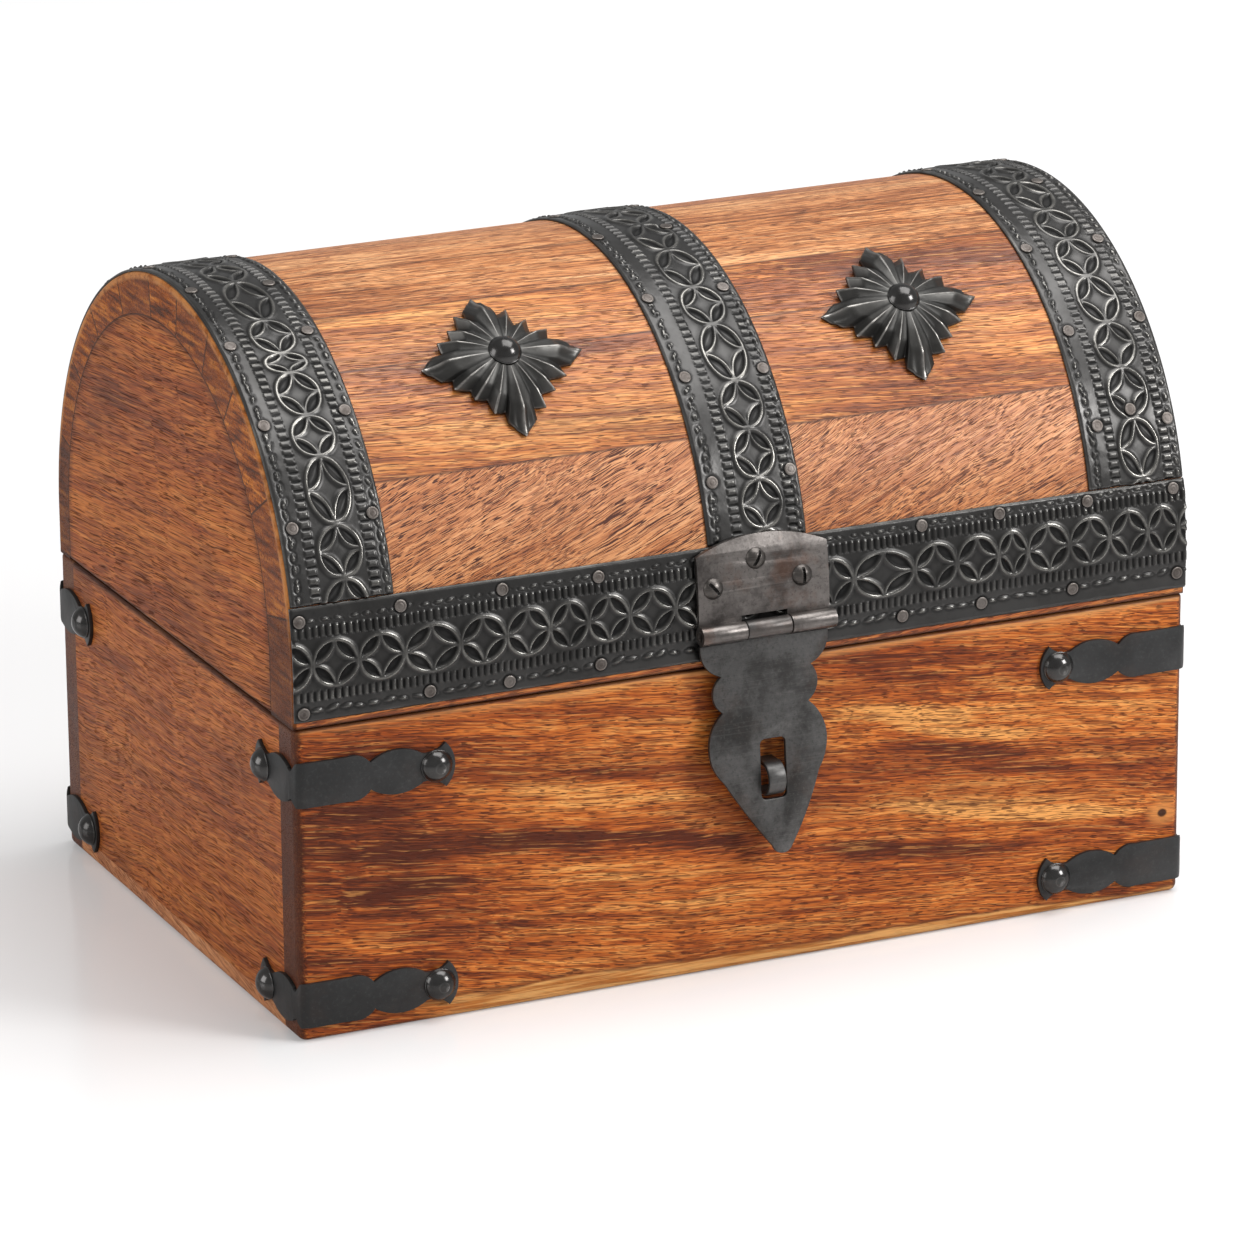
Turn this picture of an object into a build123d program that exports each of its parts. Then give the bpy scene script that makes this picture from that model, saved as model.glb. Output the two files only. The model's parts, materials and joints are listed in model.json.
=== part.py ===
from build123d import *

import os
from math import cos, hypot, pi, radians, sin

# Domed treasure chest box of reddish hardwood with black iron straps.
# Millimetres. X runs along the box, Y from the front to the back, Z up. The origin is the middle of
# the underside. Left and right are as seen from the front, which faces -Y.

os.makedirs("parts", exist_ok=True)

# Box
box_length = 296.0
box_depth = 194.0
base_height = 97.0
lid_gap = 0.3
overrun = 2.0
tiny = 0.001

# Base boards
board = 12.0
bottom_board = 6.0
corner_round = 3.0
foot_round = 2.4
mouth_round = 1.0

# Lid
rim_height = 15.0
stave_front = 17.5
stave_back = 9.5
end_board = 12.0
lid_round = 1.2
# Where the glue joints between the staves stand, in degrees up from the front and over.
stave_joint_angles = (11.0, 32.5, 54.5, 68.0, 83.0, 97.0, 113.5, 130.5, 147.0, 165.0)
rail_reach_angle = 89.0
wedge_reach_share = 4.0

# Strap along the front of the lid and the bands over it
strap_thickness = 1.6
strap_low = 2.5
strap_height = 34.5
band_width = 32.5
band_gap = 0.2
left_band_inset = 16.8
right_band_inset = 16.5
centre_band_x = 2.8

# Flat nails that hold the strap and the bands
nail_radius = 2.1
nail_top_radius = 1.4
nail_height = 0.7
nail_edge = 3.4
nail_first = 18.6
nail_rows = 9
strap_nail_shares = (-0.98, -0.76, -0.55, -0.345, 0.375, 0.56, 0.765, 0.97)

# Rosettes
rosette_reach = 26.0
rosette_sheet = 0.8
rosette_hub = 5.4
rosette_seat = 6.0
rosette_clearance = 0.1
rosette_angle = 52.0
left_rosette_share, right_rosette_share = -0.437, 0.456
# Height of the folds over the wood, from the hub to the edge of the sheet.
ridge_heights = (6.0, 5.8, 5.0, 2.2)
valley_heights = (6.0, 5.2, 4.1, 1.0)
tip_height = 0.9
# One quarter of the outline: degrees from the tip, share of the reach, share of the ridge height.
quarter_outline_shares = (
    (0.0, 1.00, 1.0),
    (12.5, 0.82, 0.15),
    (15.0, 0.69, 0.0),
    (25.5, 0.76, 1.0),
    (35.0, 0.60, 0.0),
    (45.0, 0.71, 1.0),
    (55.0, 0.60, 0.0),
    (64.5, 0.76, 1.0),
    (75.0, 0.69, 0.0),
    (77.5, 0.82, 0.15),
)

# Domed tacks
tack_radius = 5.1
tack_height = 3.6
tack_shank_radius = 1.2
tack_shank = 8.0

# Corner brackets
bracket_thickness = 1.2
bracket_half = 6.9
bracket_waist = 4.2
bracket_neck = 4.4
bracket_hollow = 4.8
bracket_shoulder = 6.2
bracket_bend = 1.5
bracket_middle = 23.4
bracket_tail = 27.0
tail_tack = 21.0
bracket_rise = 11.6
bracket_drop = 16.6
# Places along the tail, from its waist to its horns, and along the middle of the bracket.
lobe_share, neck_share, hollow_share, horn_share = 0.31, 0.62, 0.78, 0.89
flat_share, shoulder_share = 0.70, 0.90

# Hasp
hasp_x = 2.8
hasp_pin_rise = 11.7
hasp_pin_radius = 1.4
hasp_pin_inset = 1.5
hasp_knuckle_radius = 2.9
hasp_clearance = 0.4
hasp_knuckle_width = 44.3
hasp_knuckle_count = 3
knuckle_gap = 0.3
running_clearance = 0.05
leaf_thickness = 1.4
leaf_half_width = 21.65
leaf_notch = 1.2
leaf_corner_along = 35.2
leaf_top_along = 39.4
plate_thickness = 1.5
plate_half_width = 21.5
plate_length = 71.2
plate_tilt_angle = 4.0
slot_width = 8.4
slot_height = 18.8
slot_round = 1.6
slot_offset = 1.3
slot_middle = 44.3
# Outline of the swinging plate, down its left side, round the tip and up its right side: shares of
# the half width and of the length. Every second point lies on the arc between its neighbours.
plate_outline_shares = (
    (-1.000, 0.048), (-0.965, 0.125), (-0.700, 0.192), (-0.835, 0.270), (-0.690, 0.351),
    (-0.862, 0.418), (-0.915, 0.503), (-0.860, 0.590), (-0.705, 0.657), (-0.345, 0.820),
    (0.015, 0.964), (0.177, 1.000), (0.316, 0.972), (0.572, 0.820), (0.767, 0.657),
    (0.880, 0.580), (0.905, 0.503), (0.820, 0.418), (0.633, 0.351), (0.785, 0.270),
    (0.684, 0.192), (0.925, 0.125), (0.960, 0.048),
)
# Screws of the fixed leaf: share of its half width, share of its height, degrees of the slot.
leaf_screw_shares = ((-0.77, 0.48, -50.0), (-0.10, 0.74, 60.0), (0.59, 0.49, 90.0))

# Staple
staple_width = 5.6
staple_strip = 1.2
staple_outer_radius = 5.25
staple_reach = 10.2
staple_leg = 7.0
staple_clearance = 0.8
staple_x = 3.9

# Round-head slotted screws
hasp_screw_radius = 3.3
hasp_screw_height = 1.9
hinge_screw_radius = 2.6
hinge_screw_height = 1.5
screw_shank = 7.0
shank_share, screw_slot_share, slot_depth_share = 0.42, 0.3, 0.5

# Rear hinges, each at a gap from the bracket beside it
hinge_gap = 11.6
hinge_width = 40.0
hinge_leaf_height = 24.0
hinge_leaf = 1.5
hinge_knuckle_radius = 3.0
hinge_knuckle_count = 5
hinge_pin_radius = 1.3
hinge_leaf_round = 4.0
pin_chamfer = 0.4
hinge_screw_shares = ((-0.34, 0.34, 20.0), (0.34, 0.34, 75.0), (0.0, 0.74, -35.0))

# Worked out from the sizes above
half_length = box_length / 2
half_depth = box_depth / 2
rim = base_height + lid_gap
spring_height = rim + rim_height
inner_radius = half_depth - (stave_front + stave_back) / 2
inner_shift = (stave_front - stave_back) / 2
lid_outline = 2 * rim_height + pi * half_depth
strap_high = strap_low + strap_height
band_low = strap_high + band_gap
band_high = lid_outline - strap_low
bands = (
    ("left", left_band_inset - half_length),
    ("centre", centre_band_x),
    ("right", half_length - right_band_inset),
)
nail_pitch = (band_high - band_low - 2 * nail_first) / (nail_rows - 1)
rosette_along = rim_height + radians(rosette_angle) * half_depth
rosette_places = (left_rosette_share * half_length, right_rosette_share * half_length)
lower_bracket_z = bracket_rise
upper_bracket_z = base_height - bracket_drop
hasp_pin_z = rim + hasp_pin_rise
leaf_face = strap_thickness + leaf_thickness
hasp_pin_y = -(half_depth + strap_thickness + hasp_clearance + hasp_knuckle_radius)
hasp_pin_point = (hasp_x, hasp_pin_y, hasp_pin_z)
hasp_shank_radius = hasp_screw_radius * shank_share
hinge_x = half_length - bracket_middle - bracket_tail - hinge_gap - hinge_width / 2
hinge_pin_y = half_depth + hinge_knuckle_radius
hinge_pin_z = base_height + lid_gap / 2
hinge_knuckle_drop = hinge_knuckle_radius + knuckle_gap
hinge_shank_radius = hinge_screw_radius * shank_share
slot_foot = hasp_pin_z - (slot_middle + slot_height / 2) * cos(radians(plate_tilt_angle))
staple_z = slot_foot + staple_clearance + staple_outer_radius
sunk = (Align.CENTER, Align.CENTER, Align.MAX)


def save(builder, name):
    builder.part.label = name
    export_step(builder.part, f"parts/{name}.step")


def on_lid(along, proud=0.0):
    """Point in the Y-Z plane at a distance along the lid's outline, from its front rim to its back one."""
    turn = (along - rim_height) / half_depth
    reach = half_depth + proud
    if turn <= 0:
        return (-reach, rim + along)
    if turn >= pi:
        return (reach, rim + lid_outline - along)
    return (-reach * cos(turn), spring_height + reach * sin(turn))


def lid_frame(x, along, proud=0.0, spin=0.0):
    """Plane that touches the lid at a distance along its outline, with its normal outwards."""
    turn = min(max((along - rim_height) / half_depth, 0.0), pi)
    frame = Plane(origin=(x, *on_lid(along, proud)), x_dir=(1, 0, 0), z_dir=(0, -cos(turn), sin(turn)))
    return frame * Rotation(0, 0, spin)


def lid_sheet(low, high, inner, outer):
    """Section of a sheet on the lid, between two distances along its outline and two heights above it."""
    start = max(low, rim_height)
    end = min(high, lid_outline - rim_height)
    with BuildSketch() as sheet:
        with BuildLine():
            for proud in (inner, outer):
                if low < start:
                    Line(on_lid(low, proud), on_lid(start, proud))
                if start < end:
                    middle = (start + end) / 2
                    ThreePointArc(on_lid(start, proud), on_lid(middle, proud), on_lid(end, proud))
                if high > end:
                    Line(on_lid(end, proud), on_lid(high, proud))
            Line(on_lid(low, inner), on_lid(low, outer))
            Line(on_lid(high, inner), on_lid(high, outer))
        make_face()
    return sheet.sketch_local


def arch(radius, middle):
    """Section of an arch: upright sides from the lid's rim and a half circle above them."""
    with BuildSketch() as face:
        with BuildLine():
            CenterArc((middle, spring_height), radius, 0, 180)
            Polyline(
                (middle + radius, spring_height),
                (middle + radius, rim),
                (middle - radius, rim),
                (middle - radius, spring_height),
            )
        make_face()
    return face.sketch_local


def arc_chain(points):
    """Arcs through the points, each from one point over the next to the one after that."""
    for first, middle, last in zip(points[0::2], points[1::2], points[2::2]):
        ThreePointArc(first, middle, last)


def drill(frames, radius, depth):
    """Holes in the open part, as deep on both sides of each frame."""
    with Locations(*frames):
        Cylinder(radius, 2 * depth, mode=Mode.SUBTRACT)


def facing(frames, normal):
    return [frame for frame in frames if (frame.z_dir - Vector(*normal)).length < tiny]


def dome_section(radius, height, seat=0.0):
    """Half section of a domed head that stands on a height, to be revolved about Z."""
    bulge = (radius**2 + height**2) / (2 * height)
    with BuildSketch(Plane.XZ) as half:
        with BuildLine():
            Line((0, seat), (radius, seat))
            RadiusArc((radius, seat), (0, seat + height), -bulge)
            Line((0, seat + height), (0, seat))
        make_face()
    return half.sketch


def tack(seat):
    """Domed tack for wood at height zero, with its head seated at a height above the wood."""
    with BuildPart() as shape:
        revolve(dome_section(tack_radius, tack_height, seat), axis=Axis.Z)
        with Locations((0, 0, seat)):
            Cylinder(tack_shank_radius, tack_shank + seat, align=sunk)
    return shape.part


def screw(radius, height):
    """Round-head slotted screw whose head stands on height zero."""
    with BuildPart() as shape:
        revolve(dome_section(radius, height), axis=Axis.Z)
        with Locations((0, 0, height)):
            Box(
                2 * radius + overrun,
                radius * screw_slot_share,
                2 * height * slot_depth_share,
                mode=Mode.SUBTRACT,
            )
        Cylinder(radius * shank_share, screw_shank, align=sunk)
    return shape.part


def knuckle_spans(width, count, first):
    """Start and end along X of every second knuckle of a hinge."""
    pitch = (width + knuckle_gap) / count
    starts = [index * pitch - width / 2 for index in range(first, count, 2)]
    return [(start, start + pitch - knuckle_gap) for start in starts]


def knuckles(pin_point, spans, radius):
    """Knuckles round a pin along X, in the open part."""
    x, y, z = pin_point
    for start, end in spans:
        with Locations((x + (start + end) / 2, y, z)):
            Cylinder(radius, end - start, rotation=(0, 90, 0))


def pin_bore(pin_point, width, radius):
    with Locations(pin_point):
        Cylinder(radius, width + overrun, rotation=(0, 90, 0), mode=Mode.SUBTRACT)


def pin(pin_point, width, radius):
    with BuildPart() as rod:
        with Locations(pin_point):
            Cylinder(radius, width, rotation=(0, 90, 0))
        chamfer(rod.edges().filter_by(GeomType.CIRCLE), pin_chamfer)
    return rod


# Staple: a strip bent to a loop, its two legs driven into the front board.
staple_straight = staple_reach - staple_outer_radius

with BuildPart() as staple:
    with BuildSketch(Plane.YZ.offset(staple_x)):
        with Locations((-half_depth - staple_straight, staple_z)):
            Circle(staple_outer_radius)
            Rectangle(
                staple_straight + staple_leg,
                2 * staple_outer_radius,
                align=(Align.MIN, Align.CENTER),
            )
            Circle(staple_outer_radius - staple_strip, mode=Mode.SUBTRACT)
            Rectangle(
                staple_straight + staple_leg,
                2 * (staple_outer_radius - staple_strip),
                align=(Align.MIN, Align.CENTER),
                mode=Mode.SUBTRACT,
            )
    extrude(amount=staple_width / 2, both=True)
save(staple, "hasp_staple")


# Places of the fasteners on the base: on the wood under the brackets, and on the hinge leaves.
long_tack_x = half_length - bracket_middle - tail_tack
short_tack_y = half_depth - bracket_bend - tail_tack
bracket_tack_frames = []
for side in (-1, 1):
    for end in (-1, 1):
        for z in (lower_bracket_z, upper_bracket_z):
            on_long = (end * long_tack_x, side * half_depth, z)
            on_short = (end * half_length, side * short_tack_y, z)
            bracket_tack_frames.append(Plane(origin=on_long, x_dir=(1, 0, 0), z_dir=(0, side, 0)))
            bracket_tack_frames.append(Plane(origin=on_short, x_dir=(0, 1, 0), z_dir=(end, 0, 0)))

base_screw_frames = []
lid_screw_frames = []
for x in (-hinge_x, hinge_x):
    for across, share, spin in hinge_screw_shares:
        screw_x = x + across * hinge_width
        down = share * hinge_leaf_height
        place = (screw_x, half_depth + hinge_leaf, hinge_pin_z - down)
        flat = Plane(origin=place, x_dir=(1, 0, 0), z_dir=(0, 1, 0))
        base_screw_frames.append(flat * Rotation(0, 0, spin))
        lid_screw_frames.append(lid_frame(screw_x, lid_outline - down, hinge_leaf, spin))

# Base boards: front and back run from end to end, with the bottom board between them, whose end
# grain shows at both ends, and the end boards standing on it.
with BuildPart() as bottom:
    with BuildSketch():
        Rectangle(box_length, box_depth - 2 * board)
    extrude(amount=bottom_board)
    foot = bottom.faces().sort_by(Axis.Z)[0].edges()
    fillet(foot.filter_by(Axis.Y), foot_round)
save(bottom, "base_bottom_board")


def long_board(side):
    """Front board at side -1, back board at side 1."""
    inside = half_depth - board + tiny
    with BuildPart() as long:
        with BuildSketch() as plan:
            with Locations((0, side * (half_depth - board / 2))):
                Rectangle(box_length, board)
            fillet(plan.vertices().filter_by(lambda corner: corner.Y * side > inside), corner_round)
        extrude(amount=base_height)
        foot = long.faces().sort_by(Axis.Z)[0].edges()
        fillet(foot.filter_by(lambda edge: edge.center().Y * side > inside), foot_round)
        mouth = long.faces().sort_by(Axis.Z)[-1].edges()
        fillet(mouth.filter_by(lambda edge: edge.center().Y * side > inside), mouth_round)
        drill(facing(bracket_tack_frames, (0, side, 0)), tack_shank_radius, tack_shank)
        if side < 0:
            add(staple.part, mode=Mode.SUBTRACT)
        else:
            drill(base_screw_frames, hinge_shank_radius, screw_shank)
    return long


def short_board(end):
    """Left end board at end -1, right end board at end 1."""
    with BuildPart() as short:
        with BuildSketch(Plane.XY.offset(bottom_board)):
            with Locations((end * (half_length - board / 2), 0)):
                Rectangle(board, box_depth - 2 * board)
        extrude(amount=base_height - bottom_board)
        mouth = short.edges().filter_by(Axis.Y).group_by(Axis.Z)[-1]
        fillet(mouth.filter_by(lambda edge: edge.center().X * end > half_length - tiny), mouth_round)
        drill(facing(bracket_tack_frames, (end, 0, 0)), tack_shank_radius, tack_shank)
    return short


save(long_board(-1), "base_front_board")
save(long_board(1), "base_back_board")
save(short_board(-1), "base_left_end")
save(short_board(1), "base_right_end")


# Corner brackets: a scalloped strap bent round each corner, with a fishtail at both ends.
def tail_face(waist, z):
    """Scalloped tail in the plane of its leg, from its waist outwards."""
    points = (
        (0.0, bracket_waist),
        (lobe_share, bracket_half),
        (neck_share, bracket_neck),
        (hollow_share, bracket_hollow),
        (horn_share, bracket_half),
    )
    with BuildSketch() as tail:
        with BuildLine():
            for up in (-1, 1):
                arc_chain([(waist + share * bracket_tail, z + up * half) for share, half in points])
            horn = waist + horn_share * bracket_tail
            ThreePointArc((horn, z - bracket_half), (waist + bracket_tail, z), (horn, z + bracket_half))
            Line((waist, z - bracket_waist), (waist, z + bracket_waist))
        make_face()
    return tail.sketch_local


def middle_face(corner, z):
    """Middle stretch of the strap, from the rounded corner to the waist of the long tail."""
    start = corner + corner_round
    flat = corner + flat_share * bracket_middle
    shoulder = corner + shoulder_share * bracket_middle
    waist = corner + bracket_middle
    with BuildSketch() as middle:
        with BuildLine():
            for up in (-1, 1):
                Line((start, z + up * bracket_half), (flat, z + up * bracket_half))
                ThreePointArc(
                    (flat, z + up * bracket_half),
                    (shoulder, z + up * bracket_shoulder),
                    (waist, z + up * bracket_waist),
                )
            Line((start, z - bracket_half), (start, z + bracket_half))
            Line((waist, z - bracket_waist), (waist, z + bracket_waist))
        make_face()
    return middle.sketch_local


def corner_bracket(z):
    """Bracket of the front left corner, its middle at a height."""
    outer_round = corner_round + bracket_thickness
    with BuildPart() as bracket:
        with BuildSketch(Plane.XZ.offset(half_depth)):
            add(middle_face(-half_length, z))
            add(tail_face(bracket_middle - half_length, z))
        extrude(amount=bracket_thickness)
        with BuildSketch(Plane.YZ.offset(-half_length)):
            add(tail_face(bracket_bend - half_depth, z))
            with Locations((corner_round - half_depth, z)):
                Rectangle(
                    corner_round,
                    2 * bracket_half,
                    align=(Align.MAX, Align.CENTER),
                    mode=Mode.SUBTRACT,
                )
        extrude(amount=-bracket_thickness)
        with BuildSketch(Plane.XY.offset(z - bracket_half)):
            with Locations((corner_round - half_length, corner_round - half_depth)):
                Circle(outer_round)
                Circle(corner_round, mode=Mode.SUBTRACT)
                Rectangle(outer_round, outer_round, align=(Align.MAX, Align.MAX), mode=Mode.INTERSECT)
        extrude(amount=2 * bracket_half)
        for up in (-1, 1):
            edge = z + up * bracket_half
            with BuildSketch(Plane.YZ.offset(corner_round - half_length)):
                with BuildLine():
                    Polyline(
                        (-half_depth, edge),
                        (bracket_bend - half_depth, z + up * bracket_waist),
                        (corner_round - half_depth, z + up * bracket_hollow),
                        (corner_round - half_depth, edge),
                        close=True,
                    )
                make_face()
            extrude(amount=-corner_round - bracket_thickness, mode=Mode.SUBTRACT)
        drill(bracket_tack_frames, tack_shank_radius, tack_shank)
    return bracket


for level, z in (("lower", lower_bracket_z), ("upper", upper_bracket_z)):
    front_left = corner_bracket(z)
    for end, end_name in ((-1, "left"), (1, "right")):
        for side, side_name in ((-1, "front"), (1, "back")):
            with BuildPart() as bracket:
                add(front_left.part)
                if end > 0:
                    mirror(about=Plane.YZ, mode=Mode.REPLACE)
                if side > 0:
                    mirror(about=Plane.XZ, mode=Mode.REPLACE)
            save(bracket, f"bracket_{side_name}_{end_name}_{level}")

bracket_tack = tack(bracket_thickness)
with BuildPart() as bracket_tacks:
    with Locations(*bracket_tack_frames):
        add(bracket_tack)
save(bracket_tacks, "bracket_tacks")

# Places of the fasteners on the lid
rosette_frames = [lid_frame(x, rosette_along, rosette_clearance) for x in rosette_places]
leaf_height = leaf_top_along - hasp_pin_rise
leaf_screw_frames = [
    lid_frame(hasp_x + across * leaf_half_width, hasp_pin_rise + share * leaf_height, leaf_face, spin)
    for across, share, spin in leaf_screw_shares
]


def on_lid_rim(edge):
    """Whether an edge lies on the outside of the lid along its end arches or its lower rim."""
    middle = edge @ 0.5
    outside = abs(hypot(middle.Y, max(middle.Z - spring_height, 0)) - half_depth) < tiny
    return outside and (abs(abs(middle.X) - half_length) < tiny or abs(middle.Z - rim) < tiny)


def stave(start, end):
    """Piece of the barrel between two joint angles, hollowed to the arch of the end boards."""
    reach = wedge_reach_share * half_depth
    far = [
        (-reach * cos(radians(angle)), spring_height + reach * sin(radians(angle)))
        for angle in (start, end)
    ]
    with BuildPart() as piece:
        with BuildSketch(Plane.YZ):
            add(arch(half_depth, 0))
            add(arch(inner_radius, inner_shift), mode=Mode.SUBTRACT)
            with BuildLine():
                Polyline((0, spring_height), *far, close=True)
            make_face(mode=Mode.INTERSECT)
        extrude(amount=half_length, both=True)
        fillet(piece.edges().filter_by(on_lid_rim), lid_round)
        drill(rosette_frames, tack_shank_radius, tack_shank)
        drill(leaf_screw_frames, hasp_shank_radius, screw_shank)
        drill(lid_screw_frames, hinge_shank_radius, screw_shank)
    return piece


# Lid: staves glued edge to edge between a front and a back rail, round an arched board at each end.
stave_edges = (-rail_reach_angle, *stave_joint_angles, 180 + rail_reach_angle)
stave_count = len(stave_joint_angles) - 1
stave_names = ["lid_front_rail", *[f"lid_stave_{n + 1}" for n in range(stave_count)], "lid_back_rail"]
for name, start, end in zip(stave_names, stave_edges, stave_edges[1:]):
    save(stave(start, end), name)

for end, name in ((-1, "lid_left_end"), (1, "lid_right_end")):
    with BuildPart() as panel:
        with BuildSketch(Plane.YZ.offset(end * half_length)):
            add(arch(inner_radius, inner_shift))
        extrude(amount=-end * end_board)
        lower = panel.edges().filter_by(Axis.Y).group_by(Axis.Z)[0]
        fillet(lower.filter_by(lambda edge: edge.center().X * end > half_length - tiny), lid_round)
    save(panel, name)

# Strap along the front and bands over the barrel
with BuildPart() as strap:
    with BuildSketch(Plane.YZ):
        add(lid_sheet(strap_low, strap_high, 0, strap_thickness))
    extrude(amount=half_length, both=True)
    drill(leaf_screw_frames, hasp_shank_radius, screw_shank)
save(strap, "front_strap")

nail_frames = []
for name, x in bands:
    with BuildPart() as band:
        with BuildSketch(Plane.YZ.offset(x)):
            add(lid_sheet(band_low, band_high, 0, strap_thickness))
        extrude(amount=band_width / 2, both=True)
    save(band, f"{name}_band")
    for row in range(nail_rows):
        along = band_low + nail_first + row * nail_pitch
        for across in (nail_edge - band_width / 2, band_width / 2 - nail_edge):
            nail_frames.append(lid_frame(x + across, along, strap_thickness))

for along in (strap_low + nail_edge, strap_high - nail_edge):
    for share in strap_nail_shares:
        nail_frames.append(lid_frame(share * half_length, along, strap_thickness))

with BuildPart() as strap_nails:
    with Locations(*nail_frames):
        Cone(nail_radius, nail_top_radius, nail_height, align=(Align.CENTER, Align.CENTER, Align.MIN))
save(strap_nails, "strap_nails")


# Rosettes: four-pointed stars of thin sheet, pressed into folds that run out from the hub to a leaf
# at each tip and to the teeth between the tips, and bent to the barrel.
def rosette_rings(x, below):
    """Corners of the folded sheet, ring by ring from the hub to its edge, at a depth below its top."""
    rings = []
    for ring, (ridge, valley) in enumerate(zip(ridge_heights, valley_heights)):
        corners = []
        for quarter in range(4):
            for angle, reach_share, ridge_share in quarter_outline_shares:
                at_tip = angle == 0 and ring == len(ridge_heights) - 1
                top = tip_height if at_tip else valley + (ridge - valley) * ridge_share
                edge = rosette_reach * reach_share
                reach = rosette_hub + (edge - rosette_hub) * ring / (len(ridge_heights) - 1)
                turn = radians(90 * quarter + angle)
                y, z = on_lid(rosette_along + reach * sin(turn), rosette_clearance + top - below)
                corners.append((x + reach * cos(turn), y, z))
        rings.append(corners)
    return rings


def rosette_skin(x, below):
    """Triangles of one side of the folded sheet."""
    rings = rosette_rings(x, below)
    hub = (x, *on_lid(rosette_along, rosette_clearance + rosette_seat - below))
    count = len(rings[0])
    triangles = [(hub, rings[0][n], rings[0][(n + 1) % count]) for n in range(count)]
    for inner, outer in zip(rings, rings[1:]):
        for n in range(count):
            after = (n + 1) % count
            triangles.append((inner[n], outer[n], outer[after]))
            triangles.append((inner[n], outer[after], inner[after]))
    return triangles, rings[-1]


for name, x, frame in zip(("left", "right"), rosette_places, rosette_frames):
    top, top_edge = rosette_skin(x, 0)
    under, under_edge = rosette_skin(x, rosette_sheet)
    triangles = top + [(a, c, b) for a, b, c in under]
    for n in range(len(top_edge)):
        after = (n + 1) % len(top_edge)
        triangles.append((top_edge[n], under_edge[n], under_edge[after]))
        triangles.append((top_edge[n], under_edge[after], top_edge[after]))
    with BuildPart() as rosette:
        add(Solid(Shell([Face(Wire.make_polygon(triangle)) for triangle in triangles])))
        drill([frame], tack_shank_radius, tack_shank)
    save(rosette, f"{name}_rosette")

rosette_tack = tack(rosette_seat)
with BuildPart() as rosette_tacks:
    with Locations(*rosette_frames):
        add(rosette_tack)
save(rosette_tacks, "rosette_tacks")

# Hasp: a fixed leaf with two knuckles over the strap, a pin, and the swinging plate.
leaf_spans = knuckle_spans(hasp_knuckle_width, hasp_knuckle_count, 0)
plate_spans = knuckle_spans(hasp_knuckle_width, hasp_knuckle_count, 1)
plate_knuckle = plate_spans[0][1] - plate_spans[0][0]

with BuildPart() as leaf:
    with BuildSketch(Plane.YZ.offset(hasp_x)):
        add(lid_sheet(hasp_pin_rise, leaf_top_along, strap_thickness, leaf_face))
    extrude(amount=leaf_half_width, both=True)
    with BuildSketch(Plane.XZ):
        left, right = hasp_x - leaf_half_width, hasp_x + leaf_half_width
        corner_z, top_z = on_lid(leaf_corner_along)[1], on_lid(leaf_top_along, leaf_face)[1]
        with BuildLine():
            ThreePointArc((left, corner_z), (hasp_x, top_z), (right, corner_z))
            Polyline((right, corner_z), (right, hasp_pin_z), (left, hasp_pin_z), (left, corner_z))
        make_face()
        with Locations((hasp_x, hasp_pin_z)):
            Rectangle(
                plate_knuckle + 2 * knuckle_gap,
                hasp_knuckle_radius + leaf_notch,
                align=(Align.CENTER, Align.MIN),
                mode=Mode.SUBTRACT,
            )
    extrude(amount=box_depth, mode=Mode.INTERSECT)
    knuckles(hasp_pin_point, leaf_spans, hasp_knuckle_radius)
    pin_bore(hasp_pin_point, hasp_knuckle_width, hasp_pin_radius + running_clearance)
    drill(leaf_screw_frames, hasp_shank_radius, screw_shank)
save(leaf, "hasp_leaf")

hasp_screw = screw(hasp_screw_radius, hasp_screw_height)
with BuildPart() as hasp_screws:
    with Locations(*leaf_screw_frames):
        add(hasp_screw)
save(hasp_screws, "hasp_screws")

save(pin(hasp_pin_point, hasp_knuckle_width - 2 * hasp_pin_inset, hasp_pin_radius), "hasp_pin")

tilt = radians(plate_tilt_angle)
plate_frame = Plane(origin=hasp_pin_point, x_dir=(1, 0, 0), z_dir=(0, -cos(tilt), sin(tilt)))
with BuildPart() as plate:
    with BuildSketch(plate_frame.offset(-hasp_knuckle_radius)):
        outline = [
            (across * plate_half_width, -down * plate_length) for across, down in plate_outline_shares
        ]
        with BuildLine():
            arc_chain(outline)
            Line(outline[-1], outline[0])
        make_face()
        Rectangle(plate_knuckle, -outline[0][1], align=(Align.CENTER, Align.MAX))
        with Locations((slot_offset, -slot_middle)):
            RectangleRounded(slot_width, slot_height, slot_round, mode=Mode.SUBTRACT)
    extrude(amount=plate_thickness)
    knuckles(hasp_pin_point, plate_spans, hasp_knuckle_radius)
    pin_bore(hasp_pin_point, hasp_knuckle_width, hasp_pin_radius + running_clearance)
save(plate, "hasp_plate")


# Rear hinges: two butt hinges on the back, screwed to the base and to the lid.
def hinge_base_leaf(pin_point):
    spans = knuckle_spans(hinge_width, hinge_knuckle_count, 0)
    x, y, z = pin_point
    with BuildPart() as base_leaf:
        with BuildSketch(Plane(origin=(x, half_depth, z), x_dir=(-1, 0, 0), z_dir=(0, 1, 0))) as flat:
            with Locations((0, -hinge_knuckle_drop)):
                Rectangle(
                    hinge_width,
                    hinge_leaf_height - hinge_knuckle_drop,
                    align=(Align.CENTER, Align.MAX),
                )
            fillet(flat.vertices().group_by(Axis.Y)[0], hinge_leaf_round)
            for start, end in spans:
                with Locations(((start + end) / 2, 0)):
                    Rectangle(end - start, hinge_knuckle_drop, align=(Align.CENTER, Align.MAX))
        extrude(amount=hinge_leaf)
        knuckles(pin_point, spans, hinge_knuckle_radius)
        pin_bore(pin_point, hinge_width, hinge_pin_radius + running_clearance)
        drill(base_screw_frames, hinge_shank_radius, screw_shank)
    return base_leaf


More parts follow.
